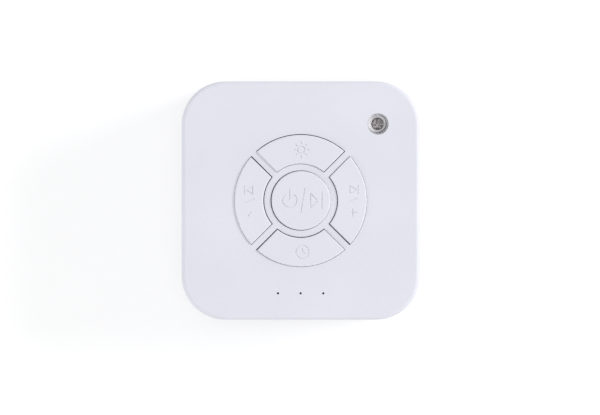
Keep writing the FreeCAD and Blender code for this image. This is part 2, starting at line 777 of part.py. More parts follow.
def make_night_light():
    """A clear cap glued under the face, and the round lamp that stands in it on two pins."""
    cap = new_body("night_light_lens", LIGHT_X, LIGHT_Y)
    outer = "light_hole_radius - lens_clearance"
    lens_top = f"{CASE_TOP} - lens_sink"
    flange_under = f"{FACE_UNDER} - lens_flange_thickness"
    skin_under = f"{lens_top} - lens_skin"
    revolve(cap, (
        ("0", lens_top),
        (outer, lens_top),
        (outer, FACE_UNDER),
        ("lens_flange_radius", FACE_UNDER),
        ("lens_flange_radius", flange_under),
        ("lens_bore_radius", flange_under),
        ("lens_bore_radius", skin_under),
        ("0", skin_under),
    ))
    pins = []
    for side, height in ((-1, "lamp_short_pin"), (1, "lamp_long_pin")):
        pin = doc.addObject("Part::Box", "lamp_pin")
        bind(pin, "Length", "lamp_pin_width")
        bind(pin, "Width", "lamp_pin_width")
        bind(pin, "Height", f"{height} + lamp_pin_reach - board_thickness")
        bind_place(pin, f"{LIGHT_X} + {side} * lamp_pin_pitch / 2 - lamp_pin_width / 2",
                   f"{LIGHT_Y} - lamp_pin_width / 2", f"{BOARD_TOP} - lamp_pin_reach + board_thickness")
        pins.append(pin)
    frame = doc.addObject("Part::Compound", "lamp_pins")
    frame.Links = pins
    keep(frame, "night_light_pins")
    stalk = doc.addObject("Part::Cylinder", "lamp_stalk")
    bind(stalk, "Radius", "lamp_radius")
    bind(stalk, "Height", "lamp_height - lamp_radius")
    rim = doc.addObject("Part::Cylinder", "lamp_rim")
    bind(rim, "Radius", "lamp_rim_radius")
    bind(rim, "Height", "lamp_rim_height")
    dome = doc.addObject("Part::Sphere", "lamp_dome")
    bind(dome, "Radius", "lamp_radius")
    bind_place(stalk, LIGHT_X, LIGHT_Y, BOARD_TOP)
    bind_place(rim, LIGHT_X, LIGHT_Y, BOARD_TOP)
    bind_place(dome, LIGHT_X, LIGHT_Y, f"{BOARD_TOP} + lamp_height - lamp_radius")
    glass = doc.addObject("Part::MultiFuse", "lamp_glass")
    glass.Shapes = [stalk, rim, dome]
    lamp = doc.addObject("Part::Cut", "lamp")
    lamp.Base = glass
    lamp.Tool = frame
    keep(lamp, "night_light_lamp")


def make_socket():
    """Charging socket: a folded shell with two sloped lower corners, and the contact tongue in it."""
    mouth = f"({HALF} - socket_setback)"
    shell = new_body("socket_shell", z=BOARD_TOP)
    draw_socket_profile(shell, "0", f"socket_length - {mouth}", "socket_length")
    inner = new_sketch(shell, f"socket_length - {mouth}", "XZ_Plane")
    draw_polygon(inner, socket_outline("socket_skin"))
    pocket(shell, inner, "socket_length", down=True)
    tongue = new_body("socket_tongue", z=BOARD_TOP)
    block = new_sketch(tongue, f"socket_length - {mouth}", "XZ_Plane")
    draw_polygon(block, socket_outline("socket_skin"))
    pad(tongue, block, "socket_block", down=True)
    blade = new_sketch(tongue, f"socket_length - {mouth}", "XZ_Plane")
    draw_rectangle(blade, "contact_width", "contact_thickness", y="socket_height / 2")
    pad(tongue, blade, "socket_length - 2 * socket_setback", down=True)


def socket_outline(inset):
    """The socket seen from behind: a flat box with its two lower corners cut at a slope."""
    side, low, high = f"(socket_width / 2 - {inset})", inset, f"socket_height - {inset}"
    foot = f"({side} - socket_slope)"
    shoulder = f"{low} + socket_slope"
    return (
        (f"-{foot}", low),
        (foot, low),
        (side, shoulder),
        (side, high),
        (f"-{side}", high),
        (f"-{side}", shoulder),
    )


def draw_socket_profile(body, inset, level, length):
    sketch = new_sketch(body, level, "XZ_Plane")
    draw_polygon(sketch, socket_outline(inset))
    pad(body, sketch, length, down=True)


def make_battery():
    """A round cell in a sleeve on two foam pads, with its protection board and welded straps."""
    half = CELL_HALF
    outer = "(cell_radius + sleeve_thickness)"
    shoulder = f"({half} - crimp_width)"
    groove = f"({half} - crimp_setback)"
    crimp = "cell_radius - crimp_depth"
    cell = new_body("battery_cell", y=CELL_Y, z=CELL_AXIS)
    revolve(cell, (
        (f"-{half}", "0"),
        (half, "0"),
        (half, "button_radius"),
        (shoulder, "button_radius"),
        (shoulder, "cell_radius"),
        (groove, "cell_radius"),
        (f"{groove} - crimp_width", crimp),
        (f"{groove} - 2 * crimp_width", "cell_radius"),
        (f"-{half}", "cell_radius"),
    ), about="H_Axis")
    sleeve = new_body("battery_sleeve", y=CELL_Y, z=CELL_AXIS)
    revolve(sleeve, (
        (f"-{half}", "cell_radius"),
        (f"{groove} - 2 * crimp_width", "cell_radius"),
        (f"{groove} - crimp_width", crimp),
        (groove, "cell_radius"),
        (shoulder, "cell_radius"),
        (shoulder, outer),
        (f"-{half}", outer),
    ), about="H_Axis")
    make_battery_pads(outer)
    make_battery_straps(half, outer)
    board = new_body("battery_protection_board", y=CELL_Y, z=CELL_AXIS)
    face = new_sketch(board, f"{half} + strap_thickness", "YZ_Plane")
    draw_rectangle(face, "cell_board_width", "cell_board_height")
    pad(board, face, "cell_board_thickness")


def make_battery_pads(outer):
    """Foam under the cell, hollowed by the sleeve's round side."""
    round_side = doc.addObject("Part::Cylinder", "sleeve_outside")
    bind(round_side, "Radius", outer)
    bind(round_side, "Height", f"2 * {CELL_HALF}")
    round_side.Placement.Rotation = FreeCAD.Rotation(FreeCAD.Vector(0, 1, 0), 90)
    bind_place(round_side, f"-{CELL_HALF}", CELL_Y, CELL_AXIS)
    blocks = []
    for side in (-1, 1):
        block = doc.addObject("Part::Box", "foam_block")
        bind(block, "Length", "pad_length")
        bind(block, "Width", "pad_width")
        bind(block, "Height", "2 * cell_lift")
        bind_place(block, f"{side} * pad_spacing / 2 - pad_length / 2", f"{CELL_Y} - pad_width / 2",
                   FLOOR_TOP)
        blocks.append(block)
    both = doc.addObject("Part::Compound", "foam_blocks")
    both.Links = blocks
    pads = doc.addObject("Part::Cut", "foam_pads")
    pads.Base = both
    pads.Tool = round_side
    keep(pads, "battery_pads")


def make_battery_straps(half, outer):
    """A short strap on the button end, and a long one from the flat end along the sleeve's top."""
    straps = new_body("battery_straps", y=CELL_Y, z=CELL_AXIS)
    button_end = new_sketch(straps, half, "YZ_Plane")
    draw_rectangle(button_end, "strap_width", "cell_board_height")
    pad(straps, button_end, "strap_thickness")
    flat_end = new_sketch(straps, f"-{half} - strap_thickness", "YZ_Plane")
    rise = f"({outer} + strap_thickness)"
    draw_rectangle(flat_end, "strap_width", rise, y=f"{rise} / 2")
    pad(straps, flat_end, "strap_thickness")
    pad_rectangle(straps, f"2 * {half} - crimp_width", "strap_width", outer, "strap_thickness",
                  x="-crimp_width / 2")


def make_speaker():
    """A small round speaker: gasket, basket, magnet set, and the cone with its coil."""
    front = SPEAKER_FRONT
    cloth = new_body("speaker_cloth", z=FLOOR_TOP)
    pad_circles(cloth, "seat_inner_radius - speaker_clearance", [("0", "0")], "0", "cloth_thickness")
    gasket = new_body("speaker_gasket", z=front)
    revolve(gasket, (
        ("speaker_radius - gasket_width", "0"),
        ("speaker_radius", "0"),
        ("speaker_radius", FLANGE_FRONT),
        ("speaker_radius - gasket_width", FLANGE_FRONT),
    ))
    make_basket(front)
    plate = new_body("speaker_top_plate", z=front)
    revolve(plate, (
        (PLATE_BORE, PLATE_FRONT),
        ("plate_radius", PLATE_FRONT),
        ("plate_radius", MAGNET_FRONT),
        (PLATE_BORE, MAGNET_FRONT),
    ))
    magnet = new_body("speaker_magnet", z=front)
    revolve(magnet, (
        ("magnet_bore_radius", MAGNET_FRONT),
        ("magnet_radius", MAGNET_FRONT),
        ("magnet_radius", YOKE_FRONT),
        ("magnet_bore_radius", YOKE_FRONT),
    ))
    yoke = new_body("speaker_yoke", z=front)
    yoke_back = f"{YOKE_FRONT} + plate_thickness"
    revolve(yoke, (
        ("0", PLATE_FRONT),
        ("pole_radius", PLATE_FRONT),
        ("pole_radius", YOKE_FRONT),
        ("plate_radius", YOKE_FRONT),
        ("plate_radius", f"{yoke_back} - yoke_bevel"),
        ("plate_radius - yoke_bevel", yoke_back),
        ("0", yoke_back),
    ))
    make_cone(front)
    make_dust_cap(front)
    make_surround(front)
    make_spider(front)
    make_terminals(front)


def make_basket(front):
    """Pressed sheet: flange, sloped wall with windows, ledge for the spider, and the hub at the magnet."""
    body = new_body("speaker_basket", z=front)
    sheet_ = "basket_sheet"
    revolve(body, (
        ("basket_throat_radius", FLANGE_FRONT),
        ("speaker_radius", FLANGE_FRONT),
        ("speaker_radius", FLANGE_BACK),
        (f"basket_throat_radius + {sheet_}", FLANGE_BACK),
        (f"ledge_radius + {sheet_}", f"{LEDGE} + {sheet_}"),
        (f"hub_radius + {sheet_}", f"{LEDGE} + {sheet_}"),
        (f"hub_radius + {sheet_}", PLATE_FRONT),
        (PLATE_BORE, PLATE_FRONT),
        (PLATE_BORE, HUB),
        ("hub_radius", HUB),
        ("hub_radius", LEDGE),
        ("ledge_radius", LEDGE),
    ))
    window = new_sketch(body, f"hub_radius + {sheet_}", "YZ_Plane")
    draw_rectangle(window, "window_width", "window_height", y=f"({FLANGE_BACK} + {LEDGE}) / 2")
    cut = pocket(body, window, "speaker_radius")
    middle = new_sketch(body)
    draw_circle(middle, "window_width")
    polar_pattern(body, cut, middle, "basket_windows")


def make_cone(front):
    neck = WINDING_RADIUS
    cone = new_body("speaker_cone", z=front)
    revolve(cone, (
        ("cone_rim_radius", CONE_RIM),
        ("cone_rim_radius", f"{CONE_RIM} + cone_thickness"),
        (neck, f"{CONE_NECK} + cone_thickness"),
        (neck, CONE_NECK),
    ))
    coil = new_body("speaker_voice_coil", z=front)
    coil_end = f"{MAGNET_FRONT} + coil_gap"
    revolve(coil, (
        (FORMER_RADIUS, CONE_NECK),
        (neck, CONE_NECK),
        (neck, f"{coil_end} - winding_length"),
        (f"{neck} + winding_thickness", f"{coil_end} - winding_length"),
        (f"{neck} + winding_thickness", coil_end),
        (FORMER_RADIUS, coil_end),
    ))


def make_dust_cap(front):
    """A shallow dome over the coil, seated on the front of the cone."""
    cap = new_body("speaker_dust_cap", z=front)
    slope = f"cone_depth / (cone_rim_radius - {WINDING_RADIUS})"
    seat = f"({CONE_NECK} - (cap_radius - {WINDING_RADIUS}) * {slope})"
    inside, outside = [], []
    for step in range(DOME_STEPS + 1):
        angle = 90 * step / DOME_STEPS
        radius = f"cap_radius * sin({angle})"
        height = f"{seat} - (cap_height - cone_thickness) * cos({angle})"
        inside.append((radius, height))
        outside.append((radius, f"{height} - cone_thickness"))
    revolve(cap, tuple(inside + outside[::-1]))


def make_surround(front):
    """A soft half roll between the cone's rim and the front of the basket's flange."""
    body = new_body("speaker_surround", z=front)
    land_inner = "(basket_throat_radius - surround_thickness)"
    rim = "cone_rim_radius"
    skin = "surround_thickness"
    roll_mid = f"({rim} + {land_inner}) / 2"
    crest = f"{CONE_RIM} + roll_height"
    revolve(body, (
        (f"{land_inner} + surround_land", f"{FLANGE_FRONT} - {skin}"),
        (land_inner, f"{FLANGE_FRONT} - {skin}"),
        (f"{roll_mid} + surround_land / 3", f"{crest} - 1.5 * {skin}"),
        (f"{roll_mid} - surround_land / 3", f"{crest} - 1.5 * {skin}"),
        (rim, f"{CONE_RIM} - {skin}"),
        (f"{rim} - surround_land / 2", f"{CONE_RIM} - {skin}"),
        (f"{rim} - surround_land / 2", CONE_RIM),
        (f"{rim} + {skin} / 2", CONE_RIM),
        (f"{roll_mid} - surround_land / 3", crest),
        (f"{roll_mid} + surround_land / 3", crest),
        (land_inner, FLANGE_FRONT),
        (f"{land_inner} + surround_land", FLANGE_FRONT),
    ))


def make_spider(front):
    """A waved disc that centres the coil: its outer land lies on the basket's ledge."""
    body = new_body("speaker_spider", z=front)
    waves = int(value("spider_waves"))
    inner, outer = WINDING_RADIUS, "hub_radius"
    face = f"{LEDGE} - spider_thickness"
    ridge = [("ledge_radius - spider_thickness", face)]
    for step in range(waves, -1, -1):
        radius = f"{inner} + ({outer} - {inner}) * {step} / {waves}"
        drop = "spider_wave" if step % 2 else "0"
        ridge.append((radius, f"{face} - {drop}"))
    back = [(radius, f"{height} + spider_thickness") for radius, height in reversed(ridge)]
    revolve(body, tuple(ridge + back))


def make_terminals(front):
    """The strip on the back of the ledge where the leads are soldered."""
    body = new_body("speaker_terminals", z=front)
    pad_rectangle(body, "terminal_width", "terminal_length", f"{LEDGE} + basket_sheet",
                  "terminal_thickness", x="-hub_radius - basket_sheet - terminal_width / 2")


def pad_screws(body, head_radius, head_height, shank_radius, length, places, seat, head_down):
    """Screws at the places: heads on one side of the seat, shanks on the other."""
    head = pad_circles(body, head_radius, places, seat, head_height, down=head_down)
    crown = f"{seat} - {head_height}" if head_down else f"{seat} + {head_height}"
    round_edges(body, head, f"{head_height} / 3", lies_at(crown))
    pad_circles(body, shank_radius, places, seat, length, down=not head_down)


def make_screws():
    pad_screws(new_body("case_screws"), "screw_head_radius", "screw_head_height", "screw_radius",
               "screw_length", SCREWS, SCREW_SEAT, head_down=True)
    pad_screws(new_body("board_screws"), "board_screw_head_radius", "board_screw_head_height",
               "board_screw_radius", "board_screw_length", POSTS, BOARD_UNDER, head_down=True)
    seat = f"{SPEAKER_FRONT} + gasket_thickness + basket_sheet"
    pad_screws(new_body("speaker_screws"), "speaker_screw_head_radius", "speaker_screw_head_height",
               "speaker_screw_radius", "speaker_screw_length", SPEAKER_SCREWS, seat, head_down=False)


def make_feet():
    body = new_body("rubber_feet")
    feet = pad_circles(body, "foot_radius", SCREWS, "0", "foot_rise + foot_sink")
    round_edges(body, feet, "foot_round", lies_at("0"))


HEADERS = ((BATTERY_HEADER_X, "battery_header_y"), (SPEAKER_HEADER_X, "speaker_header_y"))


def make_headers():
    """Two lead headers under the board, each with a plug pushed in from below."""
    headers = new_body("wire_headers")
    plugs = new_body("wire_plugs")
    outsides = new_sketch(headers, BOARD_UNDER)
    hollows = new_sketch(headers, f"{BOARD_UNDER} - header_floor")
    blocks = new_sketch(plugs, f"{BOARD_UNDER} - header_floor")
    margin = "2 * (header_wall + plug_clearance)"
    for x, y in HEADERS:
        draw_rectangle(outsides, "header_length", "header_width", x, y)
        draw_rectangle(hollows, "header_length - 2 * header_wall", "header_width - 2 * header_wall", x, y)
        draw_rectangle(blocks, f"header_length - {margin}", f"header_width - {margin}", x, y)
    pad(headers, outsides, "header_height", down=True)
    pocket(headers, hollows, "header_height", down=True)
    pad(plugs, blocks, "header_height - header_floor + plug_proud", down=True)


def make_board_parts():
    """Chips, capacitors and small resistors soldered to the underside of the board."""
    chips = new_body("board_chips")
    row = new_sketch(chips, BOARD_UNDER)
    draw_rectangle(row, "sound_chip_length", "sound_chip_width", y="chip_row_y")
    for side in (-1, 1):
        draw_rectangle(row, "small_chip_length", "small_chip_width", f"{side} * chip_pitch", "chip_row_y")
    draw_rectangle(row, "small_chip_length", "small_chip_width", y="-chip_row_y")
    pad(chips, row, "chip_height", down=True)
    capacitors = new_body("board_capacitors")
    places = [(CAPACITOR_X, f"capacitor_y + {n} * capacitor_pitch") for n in (0, 1)]
    pad_circles(capacitors, "capacitor_radius", places, BOARD_UNDER, "capacitor_height", down=True)
    passives = new_body("board_passives")
    dots = new_sketch(passives, BOARD_UNDER)
    count = int(value("passive_count"))
    for row_y in ("chip_row_y - sound_chip_width / 2 - passive_row_gap", "-chip_row_y - passive_row_gap"):
        for n in range(count):
            draw_rectangle(dots, "passive_width", "passive_length",
                           f"({n} - ({count} - 1) / 2) * passive_pitch", row_y)
    pad(passives, dots, "passive_height", down=True)


def bent_path(points):
    """Straight runs joined by arcs tangent to both, each arc starting at the same share of the shorter run.
    Gives the wire and its radii."""
    edges, radii = [], []
    start = points[0]
    for before, corner, after in zip(points, points[1:], points[2:]):
        into, out = corner - before, after - corner
        half_turn = into.getAngle(out) / 2
        reach = BEND_SHARE * min(into.Length, out.Length)
        radius = reach / math.tan(half_turn)
        into.normalize()
        out.normalize()
        first, last = corner - into * reach, corner + out * reach
        inward = out - into
        inward.normalize()
        middle = corner + inward * (radius / math.cos(half_turn) - radius)
        edges.append(Part.LineSegment(start, first).toShape())
        edges.append(Part.Arc(first, middle, last).toShape())
        radii.append(round(radius, 2))
        start = last
    edges.append(Part.LineSegment(start, points[-1]).toShape())
    return Part.Wire(edges), radii


def make_lead(label, places):
    """One insulated lead along its route, as a plain round tube."""
    points = [FreeCAD.Vector(*(value(place) for place in point)) for point in places]
    path, radii = bent_path(points)
    radius = value("lead_radius")
    section = Part.Wire([Part.makeCircle(radius, points[0], points[1] - points[0])])
    lead = doc.addObject("Part::Feature", label)
    lead.Shape = path.makePipeShell([section], True, True)
    lead.Placement = FreeCAD.Placement(ORIGIN, FreeCAD.Rotation())
    expected = math.pi * radius**2 * path.Length
    print(f"{label}: radii {radii} mm, volume / (section x length) = {lead.Shape.Volume / expected:.4f}")
    keep(lead, label)


def make_leads():
    """Each pair keeps side by side: the black lead runs to the right of the red one, seen from above."""
    board_face = f"{CELL_HALF} + strap_thickness + cell_board_thickness"
    solder = f"{SPEAKER_FRONT} + {LEDGE} + basket_sheet + terminal_thickness"
    strip = "-hub_radius - basket_sheet - terminal_width / 2"
    for colour, side in (("red", "-lead_pitch / 2"), ("black", "lead_pitch / 2")):
        tag_y = f"{CELL_Y} - battery_tag_offset + {side}"
        bend_y = f"{CELL_Y} - battery_lead_detour - ({side}) / 2"
        make_lead(f"battery_lead_{colour}", (
            (f"{BATTERY_HEADER_X} + {side}", "battery_header_y", PLUG_END),
            (f"{BATTERY_HEADER_X} + {side}", "battery_header_y", f"{PLUG_END} - lead_drop"),
            (f"{board_face} + battery_lead_bow + {side}", bend_y, f"{CELL_AXIS} + lead_drop"),
            (f"{board_face} + 2 * battery_lead_bow + {side}", tag_y, CELL_AXIS),
            (board_face, tag_y, CELL_AXIS),
        ))
        tag_y = f"-2 * ({side})"
        bend_y = f"-speaker_lead_side - ({side}) / 2"
        make_lead(f"speaker_lead_{colour}", (
            (f"{SPEAKER_HEADER_X} + {side}", "speaker_header_y", PLUG_END),
            (f"{SPEAKER_HEADER_X} + {side}", "speaker_header_y", f"{PLUG_END} - lead_drop"),
            (f"{strip} - speaker_lead_bow + {side}", bend_y, f"{solder} + speaker_lead_bow"),
            (strip, tag_y, f"{solder} + speaker_lead_rise"),
            (strip, tag_y, solder),
        ))


make_top_case()
make_bottom_case()
make_keys()
make_switches()
make_main_board()
make_indicator_lamps()
make_night_light()
make_socket()
make_battery()
make_speaker()
make_screws()
make_feet()
make_headers()
make_board_parts()
make_leads()

doc.recompute()
for item in doc.Objects:
    if "Invalid" in item.State or "Error" in item.State:
        raise RuntimeError(f"{item.Label} did not compute")
for item in subparts:
    if item.Shape.isNull() or not item.Shape.isValid():
        raise RuntimeError(f"{item.Label} has no sound shape")

os.makedirs("parts", exist_ok=True)
for item in subparts:
    item.Shape.exportStep(f"parts/{item.Label}.step")
    print(f"{item.Label}: {item.Shape.Volume:.1f} mm3, {len(item.Shape.Solids)} solid(s)")
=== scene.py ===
"""White noise sound machine, seen straight down on its key face. Metres, in the shared frame."""

import math

import bmesh
import bpy
from mathutils import Matrix, Vector


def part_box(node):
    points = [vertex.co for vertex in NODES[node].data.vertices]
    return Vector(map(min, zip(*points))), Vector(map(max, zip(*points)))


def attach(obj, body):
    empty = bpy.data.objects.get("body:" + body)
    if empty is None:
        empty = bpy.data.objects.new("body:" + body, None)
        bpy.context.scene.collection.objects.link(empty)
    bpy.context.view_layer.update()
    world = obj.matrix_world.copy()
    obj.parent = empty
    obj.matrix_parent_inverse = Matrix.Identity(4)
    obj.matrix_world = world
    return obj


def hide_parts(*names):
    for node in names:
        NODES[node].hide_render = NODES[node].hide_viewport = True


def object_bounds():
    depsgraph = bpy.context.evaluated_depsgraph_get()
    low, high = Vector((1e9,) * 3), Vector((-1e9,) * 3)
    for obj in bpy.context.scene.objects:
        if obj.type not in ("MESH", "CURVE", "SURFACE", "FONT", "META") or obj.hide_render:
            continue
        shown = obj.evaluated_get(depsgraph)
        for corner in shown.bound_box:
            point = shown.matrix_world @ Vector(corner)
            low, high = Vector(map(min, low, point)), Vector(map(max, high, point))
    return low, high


MM = 0.001

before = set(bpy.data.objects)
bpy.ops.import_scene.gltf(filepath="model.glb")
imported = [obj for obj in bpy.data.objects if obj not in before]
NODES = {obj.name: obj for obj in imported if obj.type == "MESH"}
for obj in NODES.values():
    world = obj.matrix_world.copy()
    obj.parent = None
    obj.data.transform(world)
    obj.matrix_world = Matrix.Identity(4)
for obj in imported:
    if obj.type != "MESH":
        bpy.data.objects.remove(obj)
size_at_load = [list(corner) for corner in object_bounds()]


# Materials


class Look:
    """One procedural material: its shader, and short ways to add and join nodes."""

    def __init__(self, name):
        self.material = bpy.data.materials.new(name)
        self.material.use_nodes = True
        self.tree = self.material.node_tree
        self.shader = self.tree.nodes["Principled BSDF"]
        self.place = self.add("ShaderNodeTexCoord").outputs["Object"]

    def add(self, kind, **settings):
        node = self.tree.nodes.new(kind)
        for key, value in settings.items():
            setattr(node, key, value)
        return node

    def give(self, socket, value):
        """Sets a socket, or joins an output to it."""
        if isinstance(value, bpy.types.NodeSocket):
            self.tree.links.new(value, socket)
        else:
            socket.default_value = value

    def shape(self, scale=(1, 1, 1), turn=(0, 0, 0)):
        """The object coordinates, stretched and turned."""
        node = self.add("ShaderNodeMapping")
        self.give(node.inputs["Vector"], self.place)
        node.inputs["Scale"].default_value = scale
        node.inputs["Rotation"].default_value = turn
        return node.outputs["Vector"]

    def noise(self, scale, detail=2.0, at=None, roughness=0.5):
        node = self.add("ShaderNodeTexNoise")
        self.give(node.inputs["Vector"], at or self.place)
        node.inputs["Scale"].default_value = scale
        node.inputs["Detail"].default_value = detail
        node.inputs["Roughness"].default_value = roughness
        return node.outputs["Fac"]

    def cells(self, scale):
        node = self.add("ShaderNodeTexVoronoi")
        self.give(node.inputs["Vector"], self.place)
        node.inputs["Scale"].default_value = scale
        return node.outputs["Distance"]

    def wave(self, scale, direction="X", bands="BANDS", distortion=0.0):
        node = self.add("ShaderNodeTexWave", wave_type=bands)
        if bands == "BANDS":
            node.bands_direction = direction
        else:
            node.rings_direction = direction
        self.give(node.inputs["Vector"], self.place)
        node.inputs["Scale"].default_value = scale
        node.inputs["Distortion"].default_value = distortion
        return node.outputs["Fac"]

    def maths(self, operation, *values):
        node = self.add("ShaderNodeMath", operation=operation)
        for socket, value in zip(node.inputs, values):
            self.give(socket, value)
        return node.outputs["Value"]

    def span(self, value, low, high, start=0.3, end=0.7):
        """A pattern's values from start to end, spread over low to high."""
        node = self.add("ShaderNodeMapRange")
        ends = {"From Min": start, "From Max": end, "To Min": low, "To Max": high}
        for key, number in {"Value": value, **ends}.items():
            self.give(node.inputs[key], number)
        return node.outputs["Result"]

    def mix(self, factor, first, second):
        node = self.add("ShaderNodeMix", data_type="RGBA")
        self.give(node.inputs[0], factor)
        self.give(node.inputs[6], first)
        self.give(node.inputs[7], second)
        return node.outputs[2]

    def bump(self, height, strength, depth=0.00005, under=None):
        node = self.add("ShaderNodeBump")
        self.give(node.inputs["Height"], height)
        node.inputs["Strength"].default_value = strength
        node.inputs["Distance"].default_value = depth
        if under:
            self.give(node.inputs["Normal"], under)
        return node.outputs["Normal"]

    def finish(self, colour, roughness, normal, **sockets):
        """The material, with these inputs of its shader set or joined."""
        for key, value in (("Base Color", colour), ("Roughness", roughness), ("Normal", normal)):
            self.give(self.shader.inputs[key], value)
        for key, value in sockets.items():
            self.give(self.shader.inputs[key.replace("_", " ")], value)
        return self.material


def tone(colour, factor):
    """A colour made lighter or darker, with full alpha."""
    return tuple(min(part * factor, 1.0) for part in colour) + (1.0,)


def moulded(name, colour, roughness=0.5, spread=0.02, grain=5200, depth=0.00002, sheen=0.45):
    """Moulded plastic or rubber: fine spark-eroded grain, slow drift of tone and gloss."""
    look = Look(name)
    drift = look.noise(28, 3)
    fine = look.noise(grain, 3, roughness=0.6)
    specks = look.noise(1500, 2)
    colour = look.mix(look.span(drift, 0, 1), tone(colour, 1 - spread), tone(colour, 1 + spread))
    colour = look.mix(look.span(specks, 0, 0.06), colour, tone((0.5, 0.5, 0.52), 1))
    gloss = look.span(look.maths("ADD", fine, drift), roughness - 0.06, roughness + 0.06, 0.7, 1.3)
    slow = look.bump(look.noise(90, 1), 0.05, 0.0002)
    return look.finish(colour, gloss, look.bump(fine, 0.35, depth, slow), Specular_IOR_Level=sheen)


def metal(name, colour, roughness=0.3, stretch=(1, 40, 1)):
    """Plated or rolled metal: drawn streaks and faint stains."""
    look = Look(name)
    streaks = look.noise(900, 3, look.shape(stretch))
    stains = look.noise(260, 4)
    colour = look.mix(look.span(stains, 0, 1), tone(colour, 0.88), tone(colour, 1))
    gloss = look.span(streaks, roughness - 0.08, roughness + 0.12)
    return look.finish(colour, gloss, look.bump(streaks, 0.3, 0.00001), Metallic=1.0)


def woven(name, colour, scale, roughness=0.85):
    """Cloth: warp and weft threads with fibres along them."""
    look = Look(name)
    warp = look.wave(scale, "X", distortion=0.6)
    weft = look.wave(scale, "Y", distortion=0.6)
    height = look.maths("MAXIMUM", look.maths("MULTIPLY", warp, 0.9), weft)
    fibres = look.noise(scale * 9, 3)
    # The low parts of the weave are painted darker and the crowns lighter: painted shade between the threads.
    shade = look.mix(look.span(height, 0, 1, 0.2, 1), tone(colour, 0.55), tone(colour, 1.15))
    shade = look.mix(look.span(fibres, 0, 0.25), shade, tone(colour, 0.7))
    normal = look.bump(fibres, 0.2, 0.00002, look.bump(height, 0.7, 0.00008))
    return look.finish(shade, look.span(fibres, roughness - 0.08, min(roughness + 0.1, 1)), normal)


def grained(name, colour, scale, roughness, depth=0.00004, contrast=0.15):
    """Sintered, pressed or foamed stuff: cells of two tones with pits between them."""
    look = Look(name)
    cell = look.cells(scale)
    fine = look.noise(scale * 3, 3)
    shade = look.mix(look.span(cell, 0, 1, 0.1, 0.7), tone(colour, 1 + contrast), tone(colour, 1 - contrast))
    shade = look.mix(look.span(fine, 0, 0.3), shade, tone(colour, 1 - 2 * contrast))
    normal = look.bump(fine, 0.3, depth / 3, look.bump(cell, 0.5, depth))
    return look.finish(shade, look.span(fine, roughness - 0.08, roughness + 0.08), normal)


def laminate(name):
    """Circuit board: solder mask over tracks, with the weave of the glass just showing."""
    look = Look(name)
    tracks = look.add("ShaderNodeTexBrick", offset=0.37, squash=0.6, squash_frequency=3)
    look.give(tracks.inputs["Vector"], look.shape(turn=(0, 0, math.pi / 2)))
    for key, value in (("Scale", 130), ("Mortar Size", 0.035), ("Mortar Smooth", 0.1),
                       ("Brick Width", 0.7), ("Row Height", 0.16)):
        tracks.inputs[key].default_value = value
    line = tracks.outputs["Fac"]
    weave = look.maths("MULTIPLY", look.wave(900, "X"), look.wave(900, "Y"))
    shade = look.mix(line, (0.012, 0.085, 0.035, 1), (0.02, 0.15, 0.06, 1))
    shade = look.mix(look.span(weave, 0, 0.2), shade, (0.03, 0.16, 0.08, 1))
    normal = look.bump(weave, 0.1, 0.00001, look.bump(line, 0.5, 0.00003))
    return look.finish(shade, look.span(look.noise(600, 3), 0.28, 0.4), normal, Coat_Weight=0.3)


def clear(name, colour, roughness, body):
    """Clear moulded plastic or cast epoxy: faint flow marks, and as much haze as body says."""
    look = Look(name)
    flow = look.noise(300, 2, look.shape((1, 1, 0.4)))
    fine = look.noise(4200, 2)
    shade = look.mix(look.span(flow, 0, 1), tone(colour, 0.97), tone(colour, 1))
    normal = look.bump(fine, 0.12, 0.00001, look.bump(flow, 0.15, 0.00005))
    return look.finish(shade, look.span(fine, roughness, roughness + 0.06), normal, Alpha=body, IOR=1.5)


def coil(name):
    """Enamelled wire, turn above turn."""
    look = Look(name)
    turns = look.wave(2600, "Z")
    wear = look.noise(900, 3)
    # Dark in the grooves between the turns and copper on their crowns: painted shade between the turns.
    shade = look.mix(turns, (0.28, 0.07, 0.02, 1), (0.85, 0.36, 0.14, 1))
    return look.finish(look.mix(look.span(wear, 0, 0.3), shade, (0.4, 0.13, 0.05, 1)),
                       look.span(wear, 0.22, 0.38), look.bump(turns, 0.8, 0.00006), Metallic=0.85)


def paper(name, colour):
    """Pressed pulp: fibres lying every way over rings left by the tool."""
    look = Look(name)
    rings = look.wave(300, "Z", "RINGS", 0.4)
    fibres = look.noise(2400, 5, look.shape((1, 2.4, 1), (0, 0, 0.6)))
    shade = look.mix(look.span(fibres, 0, 1), tone(colour, 0.7), tone(colour, 1.3))
    normal = look.bump(fibres, 0.35, 0.00004, look.bump(rings, 0.15, 0.00006))
    return look.finish(shade, look.span(fibres, 0.78, 0.95), normal)


